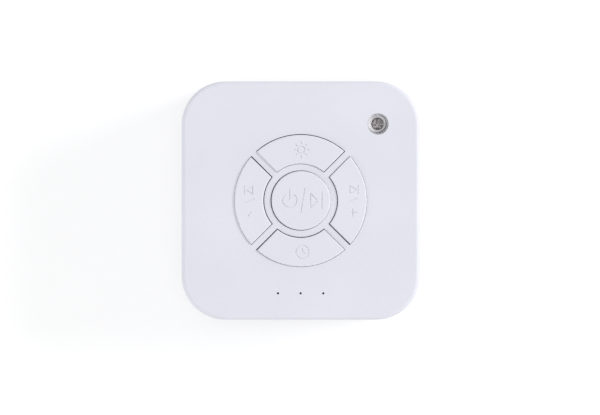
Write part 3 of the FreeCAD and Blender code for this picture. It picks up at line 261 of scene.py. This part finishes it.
SHELL = (0.797, 0.797, 0.862)
LOOKS = {
    "shell_plastic": moulded("shell_plastic", SHELL, 0.52),
    "key_plastic": moulded("key_plastic", SHELL, 0.5, 0.015, 6000),
    "switch_plastic": moulded("switch_plastic", (0.02, 0.02, 0.022), 0.4),
    "switch_metal": metal("switch_metal", (0.72, 0.72, 0.7), 0.28),
    "board_laminate": laminate("board_laminate"),
    "chip_epoxy": moulded("chip_epoxy", (0.018, 0.018, 0.02), 0.55, 0.1, 3800, 0.00003),
    "capacitor_can": metal("capacitor_can", (0.78, 0.79, 0.8), 0.25, (1, 1, 30)),
    "resistor_ceramic": grained("resistor_ceramic", (0.2, 0.16, 0.12), 2600, 0.45),
    "lamp_epoxy": clear("lamp_epoxy", (0.9, 0.82, 0.55), 0.2, 0.9),
    "clear_plastic": clear("clear_plastic", (0.93, 0.95, 0.97), 0.04, 0.05),
    "clear_epoxy": clear("clear_epoxy", (0.86, 0.78, 0.78), 0.05, 0.05),
    "lamp_cup": moulded("lamp_cup", (0.84, 0.82, 0.83), 0.5),
    "lamp_core": moulded("lamp_core", (0.86, 0.7, 0.68), 0.4, 0.06, 1400, 0.00003),
    "lamp_frame": metal("lamp_frame", (0.03, 0.024, 0.024), 0.5),
    "lamp_plate": moulded("lamp_plate", (0.93, 0.9, 0.88), 0.3, 0.05, 1600, 0.00002),
    # painted shade: the near-black of the ring under the night light's window
    "lamp_collar": moulded("lamp_collar", (0.07, 0.066, 0.07), 0.5),
    "contact_gold": metal("contact_gold", (0.9, 0.66, 0.3), 0.24),
    "plated_steel": metal("plated_steel", (0.74, 0.74, 0.76), 0.22),
    "socket_insert": moulded("socket_insert", (0.025, 0.025, 0.028), 0.5),
    "cell_can": metal("cell_can", (0.66, 0.67, 0.68), 0.3, (30, 1, 1)),
    "cell_sleeve": moulded("cell_sleeve", (0.05, 0.22, 0.5), 0.22, 0.08, 700, 0.00005, 0.6),
    "foam": grained("foam", (0.09, 0.09, 0.1), 1500, 0.9, 0.0002, 0.3),
    "nickel": metal("nickel", (0.66, 0.62, 0.55), 0.3),
    "mesh_cloth": woven("mesh_cloth", (0.05, 0.05, 0.055), 420),
    "gasket_fibre": grained("gasket_fibre", (0.12, 0.11, 0.1), 1800, 0.85),
    "basket_steel": metal("basket_steel", (0.5, 0.5, 0.52), 0.35, (1, 1, 1)),
    "ferrite": grained("ferrite", (0.06, 0.06, 0.065), 1700, 0.6),
    "cone_paper": paper("cone_paper", (0.06, 0.06, 0.065)),
    "coil_copper": coil("coil_copper"),
    "surround_rubber": moulded("surround_rubber", (0.03, 0.03, 0.032), 0.62, 0.1),
    "spider_cloth": woven("spider_cloth", (0.62, 0.45, 0.2), 700, 0.8),
    "terminal_board": grained("terminal_board", (0.35, 0.2, 0.09), 900, 0.55),
    "screw_steel": metal("screw_steel", (0.46, 0.46, 0.48), 0.26, (1, 1, 12)),
    "foot_rubber": moulded("foot_rubber", (0.11, 0.11, 0.118), 0.72, 0.08, 3000, 0.00005, 0.3),
    "connector_nylon": moulded("connector_nylon", (0.78, 0.75, 0.66), 0.4),
    "red_insulation": moulded("red_insulation", (0.5, 0.018, 0.014), 0.35),
    "black_insulation": moulded("black_insulation", (0.015, 0.015, 0.016), 0.35),
}
for node in NODES.values():
    slots = [slot.name.split(".")[0] for slot in node.data.materials]
    node.data.materials.clear()
    for slot in slots:
        node.data.materials.append(LOOKS[slot])


# Solids: small builders, all in millimetres


def box_mm(name):
    """Lowest and highest corner of a CAD node."""
    return [tuple(value / MM for value in corner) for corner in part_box(name)]


def from_shape(name, shape):
    """A linked object from a finished bmesh."""
    mesh = bpy.data.meshes.new(name)
    bmesh.ops.recalc_face_normals(shape, faces=shape.faces)
    shape.to_mesh(mesh)
    shape.free()
    piece = bpy.data.objects.new(name, mesh)
    bpy.context.collection.objects.link(piece)
    return piece


def wall(shape, lower, upper):
    """Faces from one ring of points to the next. A ring may be one point, repeated."""
    for k in range(len(lower)):
        m = (k + 1) % len(lower)
        corners = list(dict.fromkeys((lower[k], lower[m], upper[m], upper[k])))
        if len(corners) > 2:
            shape.faces.new(corners)


def prism(shape, outlines, levels):
    """Adds a closed solid with one outline at the lower level and one at the upper."""
    rings = [[shape.verts.new((p[0] * MM, p[1] * MM, level * MM)) for p in outline]
             for outline, level in zip(outlines, levels)]
    shape.faces.new(list(reversed(rings[0])))
    shape.faces.new(rings[1])
    wall(shape, *rings)


def prisms(name, outlines, levels):
    """Several prisms as one piece, each from its own pair of outlines."""
    shape = bmesh.new()
    for pair in outlines:
        prism(shape, pair, levels)
    return from_shape(name, shape)


def bevel(shape, edge):
    bmesh.ops.bevel(shape, geom=shape.edges[:], offset=edge * MM, segments=2, affect="EDGES")


def stamping(name, outline, levels, at=(0, 0), edge=0.05):
    """A small stamped part: an upright prism with bevelled edges."""
    shape = bmesh.new()
    placed = [(at[0] + x, at[1] + y) for x, y in outline]
    prism(shape, (placed, placed), levels)
    bevel(shape, edge)
    return from_shape(name, shape)


def blocks(name, boxes, edge=0.03):
    """Many small bevelled blocks in one piece, each given by its two corners."""
    shape = bmesh.new()
    for low, high in boxes:
        size = [b - a for a, b in zip(low, high)]
        middle = [(a + b) / 2 * MM for a, b in zip(low, high)]
        made = bmesh.ops.create_cube(shape, size=MM)["verts"]
        bmesh.ops.scale(shape, vec=size, verts=made)
        bmesh.ops.translate(shape, vec=middle, verts=made)
    bevel(shape, edge)
    return from_shape(name, shape)


def hoops(name, circles, segments):
    """A piece whose skin runs over level circles, (centre, radius, height) each, and back to the first."""
    shape = bmesh.new()
    rings = []
    for (x, y), radius, height in circles:
        if radius == 0:
            rings.append([shape.verts.new((x * MM, y * MM, height * MM))] * segments)
            continue
        ring = []
        for k in range(segments):
            a = math.tau * k / segments
            ring.append(shape.verts.new(((x + radius * math.cos(a)) * MM, (y + radius * math.sin(a)) * MM,
                                         height * MM)))
        rings.append(ring)
    for lower, upper in zip(rings, rings[1:] + rings[:1]):
        wall(shape, lower, upper)
    return from_shape(name, shape)


def lathe(name, profile, at=(0, 0), segments=96):
    """A turned piece from (radius, height) pairs, closed at the axis where the radius is 0."""
    return hoops(name, [(at, radius, height) for radius, height in profile], segments)


def arc(centre, radius, start, end, steps=40):
    """Points along an arc, angles in degrees."""
    angles = [math.radians(start + (end - start) * k / steps) for k in range(steps + 1)]
    return [(centre[0] + radius * math.cos(a), centre[1] + radius * math.sin(a)) for a in angles]


def bar(x, y, width, depth):
    """Outline of an upright bar around (x, y)."""
    return [(x - width / 2, y - depth / 2), (x + width / 2, y - depth / 2),
            (x + width / 2, y + depth / 2), (x - width / 2, y + depth / 2)]


def cross(x, y, length, width):
    """Two crossed bars, as outline pairs for prisms."""
    return [(bar(x, y, length, width),) * 2, (bar(x, y, width, length),) * 2]


SAME_POINT = 1e-7
SAME_LEVEL = 1e-6
NEARLY_LEVEL = 0.93
LEVEL = 0.9999


def copy_node(name):
    """A free copy of a CAD node's mesh, welded, at its place."""
    node = NODES[name]
    shape = bmesh.new()
    shape.from_mesh(node.data)
    bmesh.ops.remove_doubles(shape, verts=shape.verts, dist=SAME_POINT)
    mesh = node.data.copy()
    shape.to_mesh(mesh)
    shape.free()
    piece = bpy.data.objects.new(f"look_{name}", mesh)
    bpy.context.collection.objects.link(piece)
    piece.matrix_world = node.matrix_world
    return piece


def islands(name):
    """Corner pairs of a CAD node's separate solids."""
    shape = bmesh.new()
    shape.from_mesh(NODES[name].data)
    bmesh.ops.remove_doubles(shape, verts=shape.verts, dist=SAME_POINT)
    found, seen = [], set()
    for start in shape.verts:
        if start in seen:
            continue
        group, front = {start}, [start]
        while front:
            for link in front.pop().link_edges:
                for vert in link.verts:
                    if vert not in group:
                        group.add(vert)
                        front.append(vert)
        seen |= group
        found.append([[pick(v.co[k] for v in group) / MM for k in range(3)] for pick in (min, max)])
    shape.free()
    return found


def cut_into(piece, cutter):
    """Takes the cutter's shape out of the piece."""
    cut = piece.modifiers.new("cut", "BOOLEAN")
    cut.operation = "DIFFERENCE"
    cut.solver = "EXACT"
    cut.use_self = True
    cut.object = cutter
    bpy.context.view_layer.update()
    shaped = bpy.data.meshes.new_from_object(piece.evaluated_get(bpy.context.evaluated_depsgraph_get()))
    piece.modifiers.clear()
    piece.data = shaped
    bpy.data.objects.remove(cutter)


def settle(piece, sharp=28, flat=None):
    """Smooth shading that breaks at sharp edges. Round edges run flush into the flat level, if there is one."""
    mesh = piece.data
    mesh.polygons.foreach_set("use_smooth", [True] * len(mesh.polygons))
    mesh.set_sharp_from_angle(angle=math.radians(sharp))
    if flat is None:
        return
    normals = [corner.vector.copy() for corner in mesh.corner_normals]
    for face in mesh.polygons:
        for loop in face.loop_indices:
            level = mesh.vertices[mesh.loops[loop].vertex_index].co.z
            if face.normal.z > NEARLY_LEVEL and abs(level - flat * MM) < SAME_LEVEL:
                normals[loop] = Vector((0, 0, 1))
            elif face.normal.z > LEVEL:
                normals[loop] = face.normal.copy()
    mesh.normals_split_custom_set(normals)


def dress(piece, body, slot, *nodes, look=None):
    """Gives a new piece its finish, its body and the nodes it stands for."""
    piece.data.materials.clear()
    piece.data.materials.append(LOOKS[look or slot])
    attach(piece, body)
    if nodes:
        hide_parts(*nodes)


# Key caps with their engraved marks. Each cap has settled a little in its opening.

MARK_DEPTH = 0.28
FLOOR_SHARE = 0.3  # a groove's width at its floor, as a share of the stroke's
MOUTH_SHARE = 1.35  # and where its walls end, above the cap
CAP_STEPS = 8
CENTRE_SHIFT = 0.18
RING_TURN = 0.3


def capsule(start, end, width):
    """Outline of a straight stroke with round ends."""
    along = (end - start).normalized()
    lean = math.atan2(along.y, along.x) + math.pi / 2
    outline = []
    for middle, turn in ((start, lean), (end, lean + math.pi)):
        for k in range(CAP_STEPS + 1):
            a = turn + math.pi * k / CAP_STEPS
            outline.append(middle + Vector((math.cos(a), math.sin(a))) * width / 2)
    return outline


def stroke(points, width, closed=False):
    """A line of even width as (outline at the groove's floor, outline above the surface), one per run."""
    points = [Vector(point) for point in points]
    ends = list(zip(points, points[1:]))
    if closed:
        ends.append((points[-1], points[0]))
    return [(capsule(a, b, width * FLOOR_SHARE), capsule(a, b, width * MOUTH_SHARE)) for a, b in ends]


def power_marks():
    """Power sign, slash, and play triangle beside a pause bar, as on the middle key."""
    on = (-4.8, 0.1)
    marks = stroke(arc(on, 3.0, 128, 412), 0.62)
    marks += stroke([(on[0], on[1] + 0.5), (on[0], on[1] + 4.7)], 0.62)
    marks += stroke([(1.5, 4.9), (-0.1, -5.2)], 0.5)
    marks += stroke([(3.9, 3.1), (6.9, 0.0), (3.9, -3.1)], 0.56, True)
    return marks + stroke([(8.7, 3.3), (8.7, -3.4)], 0.6)


def sun_marks():
    """Sun with long and short rays, for the light key."""
    at = Vector((0.3, 21.4))
    start, long_end, short_end = 2.35, 3.45, 3.1
    marks = stroke(arc(at, 1.5, 0, 351, 39), 0.52, True)
    for k in range(8):
        a = math.radians(45 * k)
        way = Vector((math.cos(a), math.sin(a)))
        marks += stroke([at + way * start, at + way * (short_end if k % 2 else long_end)], 0.52)
    return marks


def clock_marks():
    """Clock face with two hands, for the timer key."""
    at = (0.6, -21.4)
    marks = stroke(arc(at, 2.7, 0, 351, 39), 0.54, True)
    return marks + stroke([(at[0], at[1] + 1.6), at, (at[0] + 1.2, at[1] - 0.7)], 0.5)


def skip_marks(x, way, plus):
    """Skip arrow and bar above, slash, then minus or plus below."""
    tip = x + way * 1.5
    marks = stroke([(x - way * 1.2, 6.2), (tip, 4.5), (x - way * 1.2, 2.8)], 0.5, True)
    marks += stroke([(tip + way * 0.75, 6.2), (tip + way * 0.75, 2.8)], 0.5)
    marks += stroke([(x - 1.9, -0.7), (x + 1.9, 0.9)], 0.48)
    if plus:
        return marks + stroke([(x - 1.6, -5.1), (x + 1.6, -5.1)], 0.54) + stroke([(x, -3.5), (x, -6.7)], 0.54)
    return marks + stroke([(x - 1.0, -6.9), (x + 0.5, -4.5)], 0.56)


def ring_key_place(shift_x, shift_y):
    """Where a ring key sits in its play: turned with the others, and pushed in or out."""
    out = Vector((shift_x, shift_y, 0)) * MM
    return Matrix.Rotation(math.radians(RING_TURN), 4, "Z") @ Matrix.Translation(out)


KEYS = {
    "key_power": ("power_key", power_marks(), Matrix.Translation((CENTRE_SHIFT * MM, 0, 0))),
    "key_light": ("light_key", sun_marks(), ring_key_place(0, -0.09)),
    "key_timer": ("timer_key", clock_marks(), ring_key_place(0, -0.1)),
    "key_previous": ("previous_key", skip_marks(-21.2, -1, False), ring_key_place(-0.14, 0)),
    "key_next": ("next_key", skip_marks(21.7, 1, True), ring_key_place(0.12, 0)),
}
cutter_rise = MARK_DEPTH * (MOUTH_SHARE - 1) / (1 - FLOOR_SHARE)
for name, (body, marks, settled) in KEYS.items():
    key = copy_node(name)
    top = box_mm(name)[1][2]
    cut_into(key, prisms("cutter", marks, (top - MARK_DEPTH, top + cutter_rise)))
    key.data.transform(settled)
    settle(key, flat=top)
    dress(key, body, "key_plastic", name)


# Night light: white cup, clear window, a dark ring of painted shade, and the lamp with its lead frame

lens_low, lens_high = box_mm("night_light_lens")
lamp_low, lamp_high = box_mm("night_light_lamp")
LIGHT = tuple((lens_low[k] + lens_high[k]) / 2 for k in (0, 1))
LENS = (LIGHT[0] - 0.2, LIGHT[1] + 0.1)
LENS_LOW, LENS_TOP = lens_low[2], lens_high[2]
LAMP_LOW, LAMP_TOP = lamp_low[2], lamp_high[2]
RIM, FLANGE, FLANGE_THICK = 4.12, 4.9, 1.0
CUP_TOP, CUP_WALL, CUP_LIP = LENS_TOP - 0.5, 0.3, 0.2
CUP_PLAY, CUP_LEDGE = 0.12, 0.5
CUP_FLOOR = LENS_LOW + 0.12
WINDOW_LOW, WINDOW_SIDE = LENS_TOP - 0.45, RIM - 0.02
LAMP, LAMP_RIM, LAMP_RIM_THICK = 2.5, 2.9, 1.0
CORE, CORE_LOW, CORE_SHOULDER, CORE_ROUND = 2.44, LAMP_LOW + 0.2, LAMP_LOW + 5.7, 0.2

cup = lathe("night_light_cup", [
    (RIM, CUP_TOP), (RIM, LENS_LOW + FLANGE_THICK), (FLANGE, LENS_LOW + FLANGE_THICK), (FLANGE, LENS_LOW),
    (LAMP + CUP_PLAY, LENS_LOW), (LAMP + CUP_PLAY, CUP_FLOOR), (LAMP + CUP_LEDGE, CUP_FLOOR),
    (RIM - CUP_WALL, CUP_TOP - 0.1), (RIM - CUP_LIP, CUP_TOP),
], LENS)
settle(cup, 25)
dress(cup, "case", "clear_plastic", "night_light_lens", look="lamp_cup")
window = lathe("night_light_window", [
    (0, WINDOW_LOW), (WINDOW_SIDE, WINDOW_LOW), (WINDOW_SIDE, LENS_TOP - 0.12),
    (RIM - 0.14, LENS_TOP - 0.03), (RIM - 0.6, LENS_TOP), (0, LENS_TOP),
], LENS)
settle(window, 25)
dress(window, "case", "clear_plastic")
bulb = lathe("night_light_bulb", [
    (0, LAMP_LOW), (LAMP_RIM, LAMP_LOW), (LAMP_RIM, LAMP_LOW + LAMP_RIM_THICK - 0.1),
    (LAMP_RIM - 0.1, LAMP_LOW + LAMP_RIM_THICK), (LAMP, LAMP_LOW + LAMP_RIM_THICK),
    *arc((0, LAMP_TOP - LAMP), LAMP, 0, 84, 14), (0, LAMP_TOP),
], LIGHT)
settle(bulb, 30)
dress(bulb, "case", "clear_epoxy", "night_light_lamp")
core = lathe("night_light_core", [
    (0, CORE_LOW), (CORE, CORE_LOW), (CORE, CORE_SHOULDER),
    *arc((CORE - CORE_ROUND, CORE_SHOULDER), CORE_ROUND, 10, 80, 4), (0, CORE_SHOULDER + 0.3),
], LIGHT, 64)
settle(core, 25)
dress(core, "case", "lamp_epoxy", look="lamp_core")

FRAME_LEVEL = CORE_SHOULDER + 0.2
FRAME_ROOT = 0.5
LEAD_FRAME = (
    ("post", bar(-0.47, 1.2, 0.44, 2.3), 0.8, "lamp_frame"),
    ("hook", bar(0.95, 1.35, 1.3, 0.3), 0.85, "lamp_frame"),
    ("hook_end", bar(1.7, 0.9, 0.28, 1.1), 0.85, "lamp_frame"),
    ("hook_back", bar(1.05, 0.4, 1.2, 0.28), 0.85, "lamp_frame"),
    ("cup", bar(1.5, -0.65, 0.8, 0.95), 0.75, "lamp_frame"),
    ("cup_arm", bar(0.4, -0.5, 0.6, 0.4), 0.7, "lamp_frame"),
    ("wing", bar(-1.15, -0.3, 0.6, 0.6), 0.7, "lamp_frame"),
    ("anvil", bar(-0.15, -1.8, 1.7, 0.6), 0.8, "lamp_frame"),
    ("chip", bar(-0.47, -0.25, 0.5, 0.5), 0.85, "lamp_plate"),
    ("ledge", bar(-0.4, -1.15, 2.9, 0.34), 0.8, "lamp_plate"),
    ("side", bar(2.1, 0.0, 0.3, 0.8), 0.8, "lamp_plate"),
)
for name, outline, height, look in LEAD_FRAME:
    part = stamping(f"lamp_{name}", outline, (FRAME_LEVEL - FRAME_ROOT, FRAME_LEVEL + height), LIGHT)
    settle(part, 40)
    dress(part, "case", "plated_steel", look=look)

# A dark ring under the window, its bore set off to the left so that it is widest at the right, top and bottom:
# painted shade at the edge of the lens, not a part of the lamp.
SHADE_RING_TOP, SHADE_RING_LOW = LENS_TOP - 0.52, LENS_TOP - 1.02
SHADE_RING_SIDE, SHADE_RING_BORE, SHADE_RING_CHAMFER = RIM - 0.04, RIM - 0.46, 0.1
SHADE_RING_INNER = (LENS[0] - 0.24, LENS[1] + 0.14)
painted_ring = hoops("night_light_painted_shade", [
    (LENS, SHADE_RING_SIDE, SHADE_RING_TOP), (SHADE_RING_INNER, SHADE_RING_BORE + SHADE_RING_CHAMFER, SHADE_RING_TOP),
    (SHADE_RING_INNER, SHADE_RING_BORE, SHADE_RING_TOP - SHADE_RING_CHAMFER), (SHADE_RING_INNER, SHADE_RING_BORE, SHADE_RING_LOW),
    (LENS, SHADE_RING_SIDE, SHADE_RING_LOW),
], 96)
settle(painted_ring, 25)
dress(painted_ring, "case", "clear_plastic", look="lamp_collar")


# Feet with a turned ring, and the contacts in the socket

FOOT = 5.0
feet_high = box_mm("rubber_feet")[1]
foot_reach, foot_top = feet_high[0] - FOOT, feet_high[2]
FOOT_PROFILE = [
    (0, 0.25), (2.2, 0.25), *arc((2.6, 0.4), 0.4, 200, 270, 4), (3.2, 0), *arc((4.1, 0.9), 0.9, 270, 360, 8),
    (FOOT, foot_top - 0.1), (FOOT - 0.1, foot_top), (0, foot_top),
]
for n, (side_x, side_y) in enumerate(((1, 1), (-1, 1), (-1, -1), (1, -1))):
    foot = lathe(f"foot_{n}", FOOT_PROFILE, (side_x * foot_reach, side_y * foot_reach), 72)
    settle(foot, 40)
    dress(foot, "case", "foot_rubber", *(["rubber_feet"] if n == 0 else []))

CONTACTS, CONTACT_PITCH, CONTACT_WIDTH, CONTACT_LENGTH, CONTACT_SETBACK = 5, 0.7, 0.34, 2.0, 1.15
tongue_back = box_mm("socket_tongue")[1][1]
socket_middle = sum(corner[2] for corner in box_mm("socket_shell")) / 2
for n in range(CONTACTS):
    x = (n - (CONTACTS - 1) / 2) * CONTACT_PITCH
    strip = stamping(f"contact_{n}", bar(x, tongue_back - CONTACT_SETBACK, CONTACT_WIDTH, CONTACT_LENGTH),
                     (socket_middle + 0.33, socket_middle + 0.42), edge=0.02)
    settle(strip, 40)
    dress(strip, "case", "plated_steel", look="contact_gold")


# Board details, under the board: chip legs, ends of the small parts, capacitor cans

LEG_PITCH, LEG_HALF = 1.27, 0.2
CHIP_MARGIN = 1.0
LEG_STEPS = (  # out from the chip's wall, then down from the board: from and to
    (-0.1, 0.45, 0.95, 0.75),
    (0.3, 0.5, 0.85, 0.1),
    (0.35, 1.0, 0.2, 0.0),
)
legs = []
for low, high in islands("board_chips"):
    count = int((high[0] - low[0] - CHIP_MARGIN) / LEG_PITCH) + 1
    for n in range(count):
        x = (low[0] + high[0]) / 2 + (n - (count - 1) / 2) * LEG_PITCH
        for side, edge in ((-1, low[1]), (1, high[1])):
            for near, far, deep, shallow in LEG_STEPS:
                y = sorted((edge + side * near, edge + side * far))
                legs.append(((x - LEG_HALF, y[0], high[2] - deep), (x + LEG_HALF, y[1], high[2] - shallow)))
dress(blocks("chip_legs", legs), "case", "plated_steel")

END_WIDTH, END_COAT = 0.3, 0.03
ends = []
for low, high in islands("board_passives"):
    for y in (low[1], high[1] - END_WIDTH):
        ends.append(((low[0] - END_COAT, y - END_COAT, low[2] - END_COAT),
                     (high[0] + END_COAT, y + END_WIDTH + END_COAT, high[2])))
dress(blocks("passive_ends", ends, 0.04), "case", "plated_steel")

CAN_SEAT, CAN_ROUND, CAN_NECK = 0.7, 0.4, 0.3
SCORE_SHARE, SCORE_WIDTH, SCORE_DEPTH = 1.2, 0.2, 0.15
for n, (low, high) in enumerate(islands("board_capacitors")):
    at = ((low[0] + high[0]) / 2, (low[1] + high[1]) / 2)
    radius = (high[0] - low[0]) / 2
    can = lathe(f"capacitor_can_{n}", [
        (0, low[2]), *arc((radius - CAN_ROUND, low[2] + CAN_ROUND), CAN_ROUND, 270, 360, 5),
        (radius, high[2] - 2.0), (radius - CAN_NECK, high[2] - 1.6), (radius, high[2] - 1.2),
        (radius, high[2] - CAN_SEAT), (0, high[2] - CAN_SEAT),
    ], at, 48)
    score = cross(*at, radius * SCORE_SHARE, SCORE_WIDTH)
    cut_into(can, prisms("cutter", score, (low[2] - 0.1, low[2] + SCORE_DEPTH)))
    settle(can, 35)
    dress(can, "case", "capacitor_can", *(["board_capacitors"] if n == 0 else []))
    seat = blocks(f"capacitor_seat_{n}", [((low[0], low[1], high[2] - CAN_SEAT), high)], 0.12)
    dress(seat, "case", "chip_epoxy")


# Screws with their cross drives

DRIVE_WIDTH = 0.5
CLEAR_OF_HEAD = 0.2
SCREWS = (  # node, whether its heads look up, length and depth of the drive
    ("case_screws", False, 2.6, 1.1),
    ("board_screws", False, 2.0, 0.8),
    ("speaker_screws", True, 2.2, 0.8),
)
for name, head_up, length, depth in SCREWS:
    drives = []
    for low, high in islands(name):
        drives += cross((low[0] + high[0]) / 2, (low[1] + high[1]) / 2, length, DRIVE_WIDTH)
    low, high = box_mm(name)
    levels = (low[2] - CLEAR_OF_HEAD, low[2] + depth)
    if head_up:
        levels = (high[2] - depth, high[2] + CLEAR_OF_HEAD)
    screws = copy_node(name)
    cut_into(screws, prisms("cutter", drives, levels))
    settle(screws, 30)
    dress(screws, "case", "screw_steel", name)


# Floor, light and camera


FLOOR_HALF = 1.5
FLOOR_DROP = 0.00005
FLOOR_GLOW = 0.54
HORIZON, ZENITH = 1.15, 0.65
SKY = (0.97, 0.98, 1.0, 1)
CAMERA_AT = (-0.00027, -0.002925)
DISTANCE = 1.5
SEEN_WIDTH = 0.2515
SENSOR = 36.0


def seen_straight(tree):
    """1 for rays from the camera, off metal and through glass, 0 for the rest."""
    path = tree.nodes.new("ShaderNodeLightPath")
    seen = path.outputs["Is Camera Ray"]
    for name in ("Is Glossy Ray", "Is Transmission Ray"):
        more = tree.nodes.new("ShaderNodeMath")
        more.operation = "MAXIMUM"
        tree.links.new(seen, more.inputs[0])
        tree.links.new(path.outputs[name], more.inputs[1])
        seen = more.outputs[0]
    return seen


def floor_look():
    """Pale paper that reads white where the light falls on it, and keeps the shadow."""
    look = Look("floor")
    pulp = look.noise(900, 4)
    shade = look.mix(look.span(pulp, 0, 1), (0.52, 0.52, 0.52, 1), (0.56, 0.56, 0.56, 1))
    look.finish(shade, look.span(pulp, 0.85, 0.95), look.bump(pulp, 0.1, 0.00003))
    seen = seen_straight(look.tree)
    look.shader.inputs["Emission Color"].default_value = (1, 1, 1, 1)
    look.give(look.shader.inputs["Emission Strength"], look.maths("MULTIPLY", seen, FLOOR_GLOW))
    return look.material


def lay_floor():
    """A flat floor just under the feet."""
    shape = bmesh.new()
    bmesh.ops.create_grid(shape, x_segments=4, y_segments=4, size=FLOOR_HALF)
    floor = from_shape("floor", shape)
    floor.location.z = -FLOOR_DROP
    floor.data.materials.append(floor_look())


def studio():
    """Even daylight that fades upwards, behind which straight rays see plain white."""
    world = bpy.data.worlds.new("studio")
    bpy.context.scene.world = world
    world.use_nodes = True
    tree = world.node_tree
    room = tree.nodes["Background"]
    room.inputs["Color"].default_value = SKY
    white = tree.nodes.new("ShaderNodeBackground")
    white.inputs["Strength"].default_value = 1.0
    above = tree.nodes.new("ShaderNodeSeparateXYZ")
    tree.links.new(tree.nodes.new("ShaderNodeTexCoord").outputs["Generated"], above.inputs[0])
    fall = tree.nodes.new("ShaderNodeMapRange")
    for key, number in (("From Min", 0.0), ("From Max", 0.5), ("To Min", HORIZON), ("To Max", ZENITH)):
        fall.inputs[key].default_value = number
    tree.links.new(above.outputs["Z"], fall.inputs["Value"])
    tree.links.new(fall.outputs["Result"], room.inputs["Strength"])
    choose = tree.nodes.new("ShaderNodeMixShader")
    tree.links.new(seen_straight(tree), choose.inputs[0])
    tree.links.new(room.outputs[0], choose.inputs[1])
    tree.links.new(white.outputs[0], choose.inputs[2])
    tree.links.new(choose.outputs[0], tree.nodes["World Output"].inputs["Surface"])


def softbox(name, way, distance, width, height, power):
    """An area light that faces the object from the given direction: (azimuth from +X, elevation)."""
    around, up = (math.radians(a) for a in way)
    at = Vector((math.cos(around) * math.cos(up), math.sin(around) * math.cos(up), math.sin(up)))
    data = bpy.data.lights.new(name, "AREA")
    data.shape = "RECTANGLE"
    data.size = width
    data.size_y = height
    data.energy = power
    light = bpy.data.objects.new(name, data)
    bpy.context.collection.objects.link(light)
    light.location = at * distance
    light.rotation_euler = at.to_track_quat("Z", "Y").to_euler()


def look_down():
    """The camera straight above, a little off the middle, as in the photo."""
    view = bpy.data.cameras.new("camera")
    view.sensor_width = SENSOR
    view.lens = SENSOR * DISTANCE / SEEN_WIDTH
    view.clip_end = 10.0
    camera = bpy.data.objects.new("camera", view)
    bpy.context.collection.objects.link(camera)
    camera.location = (*CAMERA_AT, size_at_load[1][2] + DISTANCE)
    bpy.context.scene.camera = camera


lay_floor()
studio()
softbox("key_light_box", way=(14, 28), distance=2.4, width=1.0, height=0.6, power=29.0)
softbox("fill_box", way=(212, 20), distance=2.4, width=1.6, height=0.8, power=15.0)
look_down()
bpy.context.scene.view_settings.view_transform = "Standard"
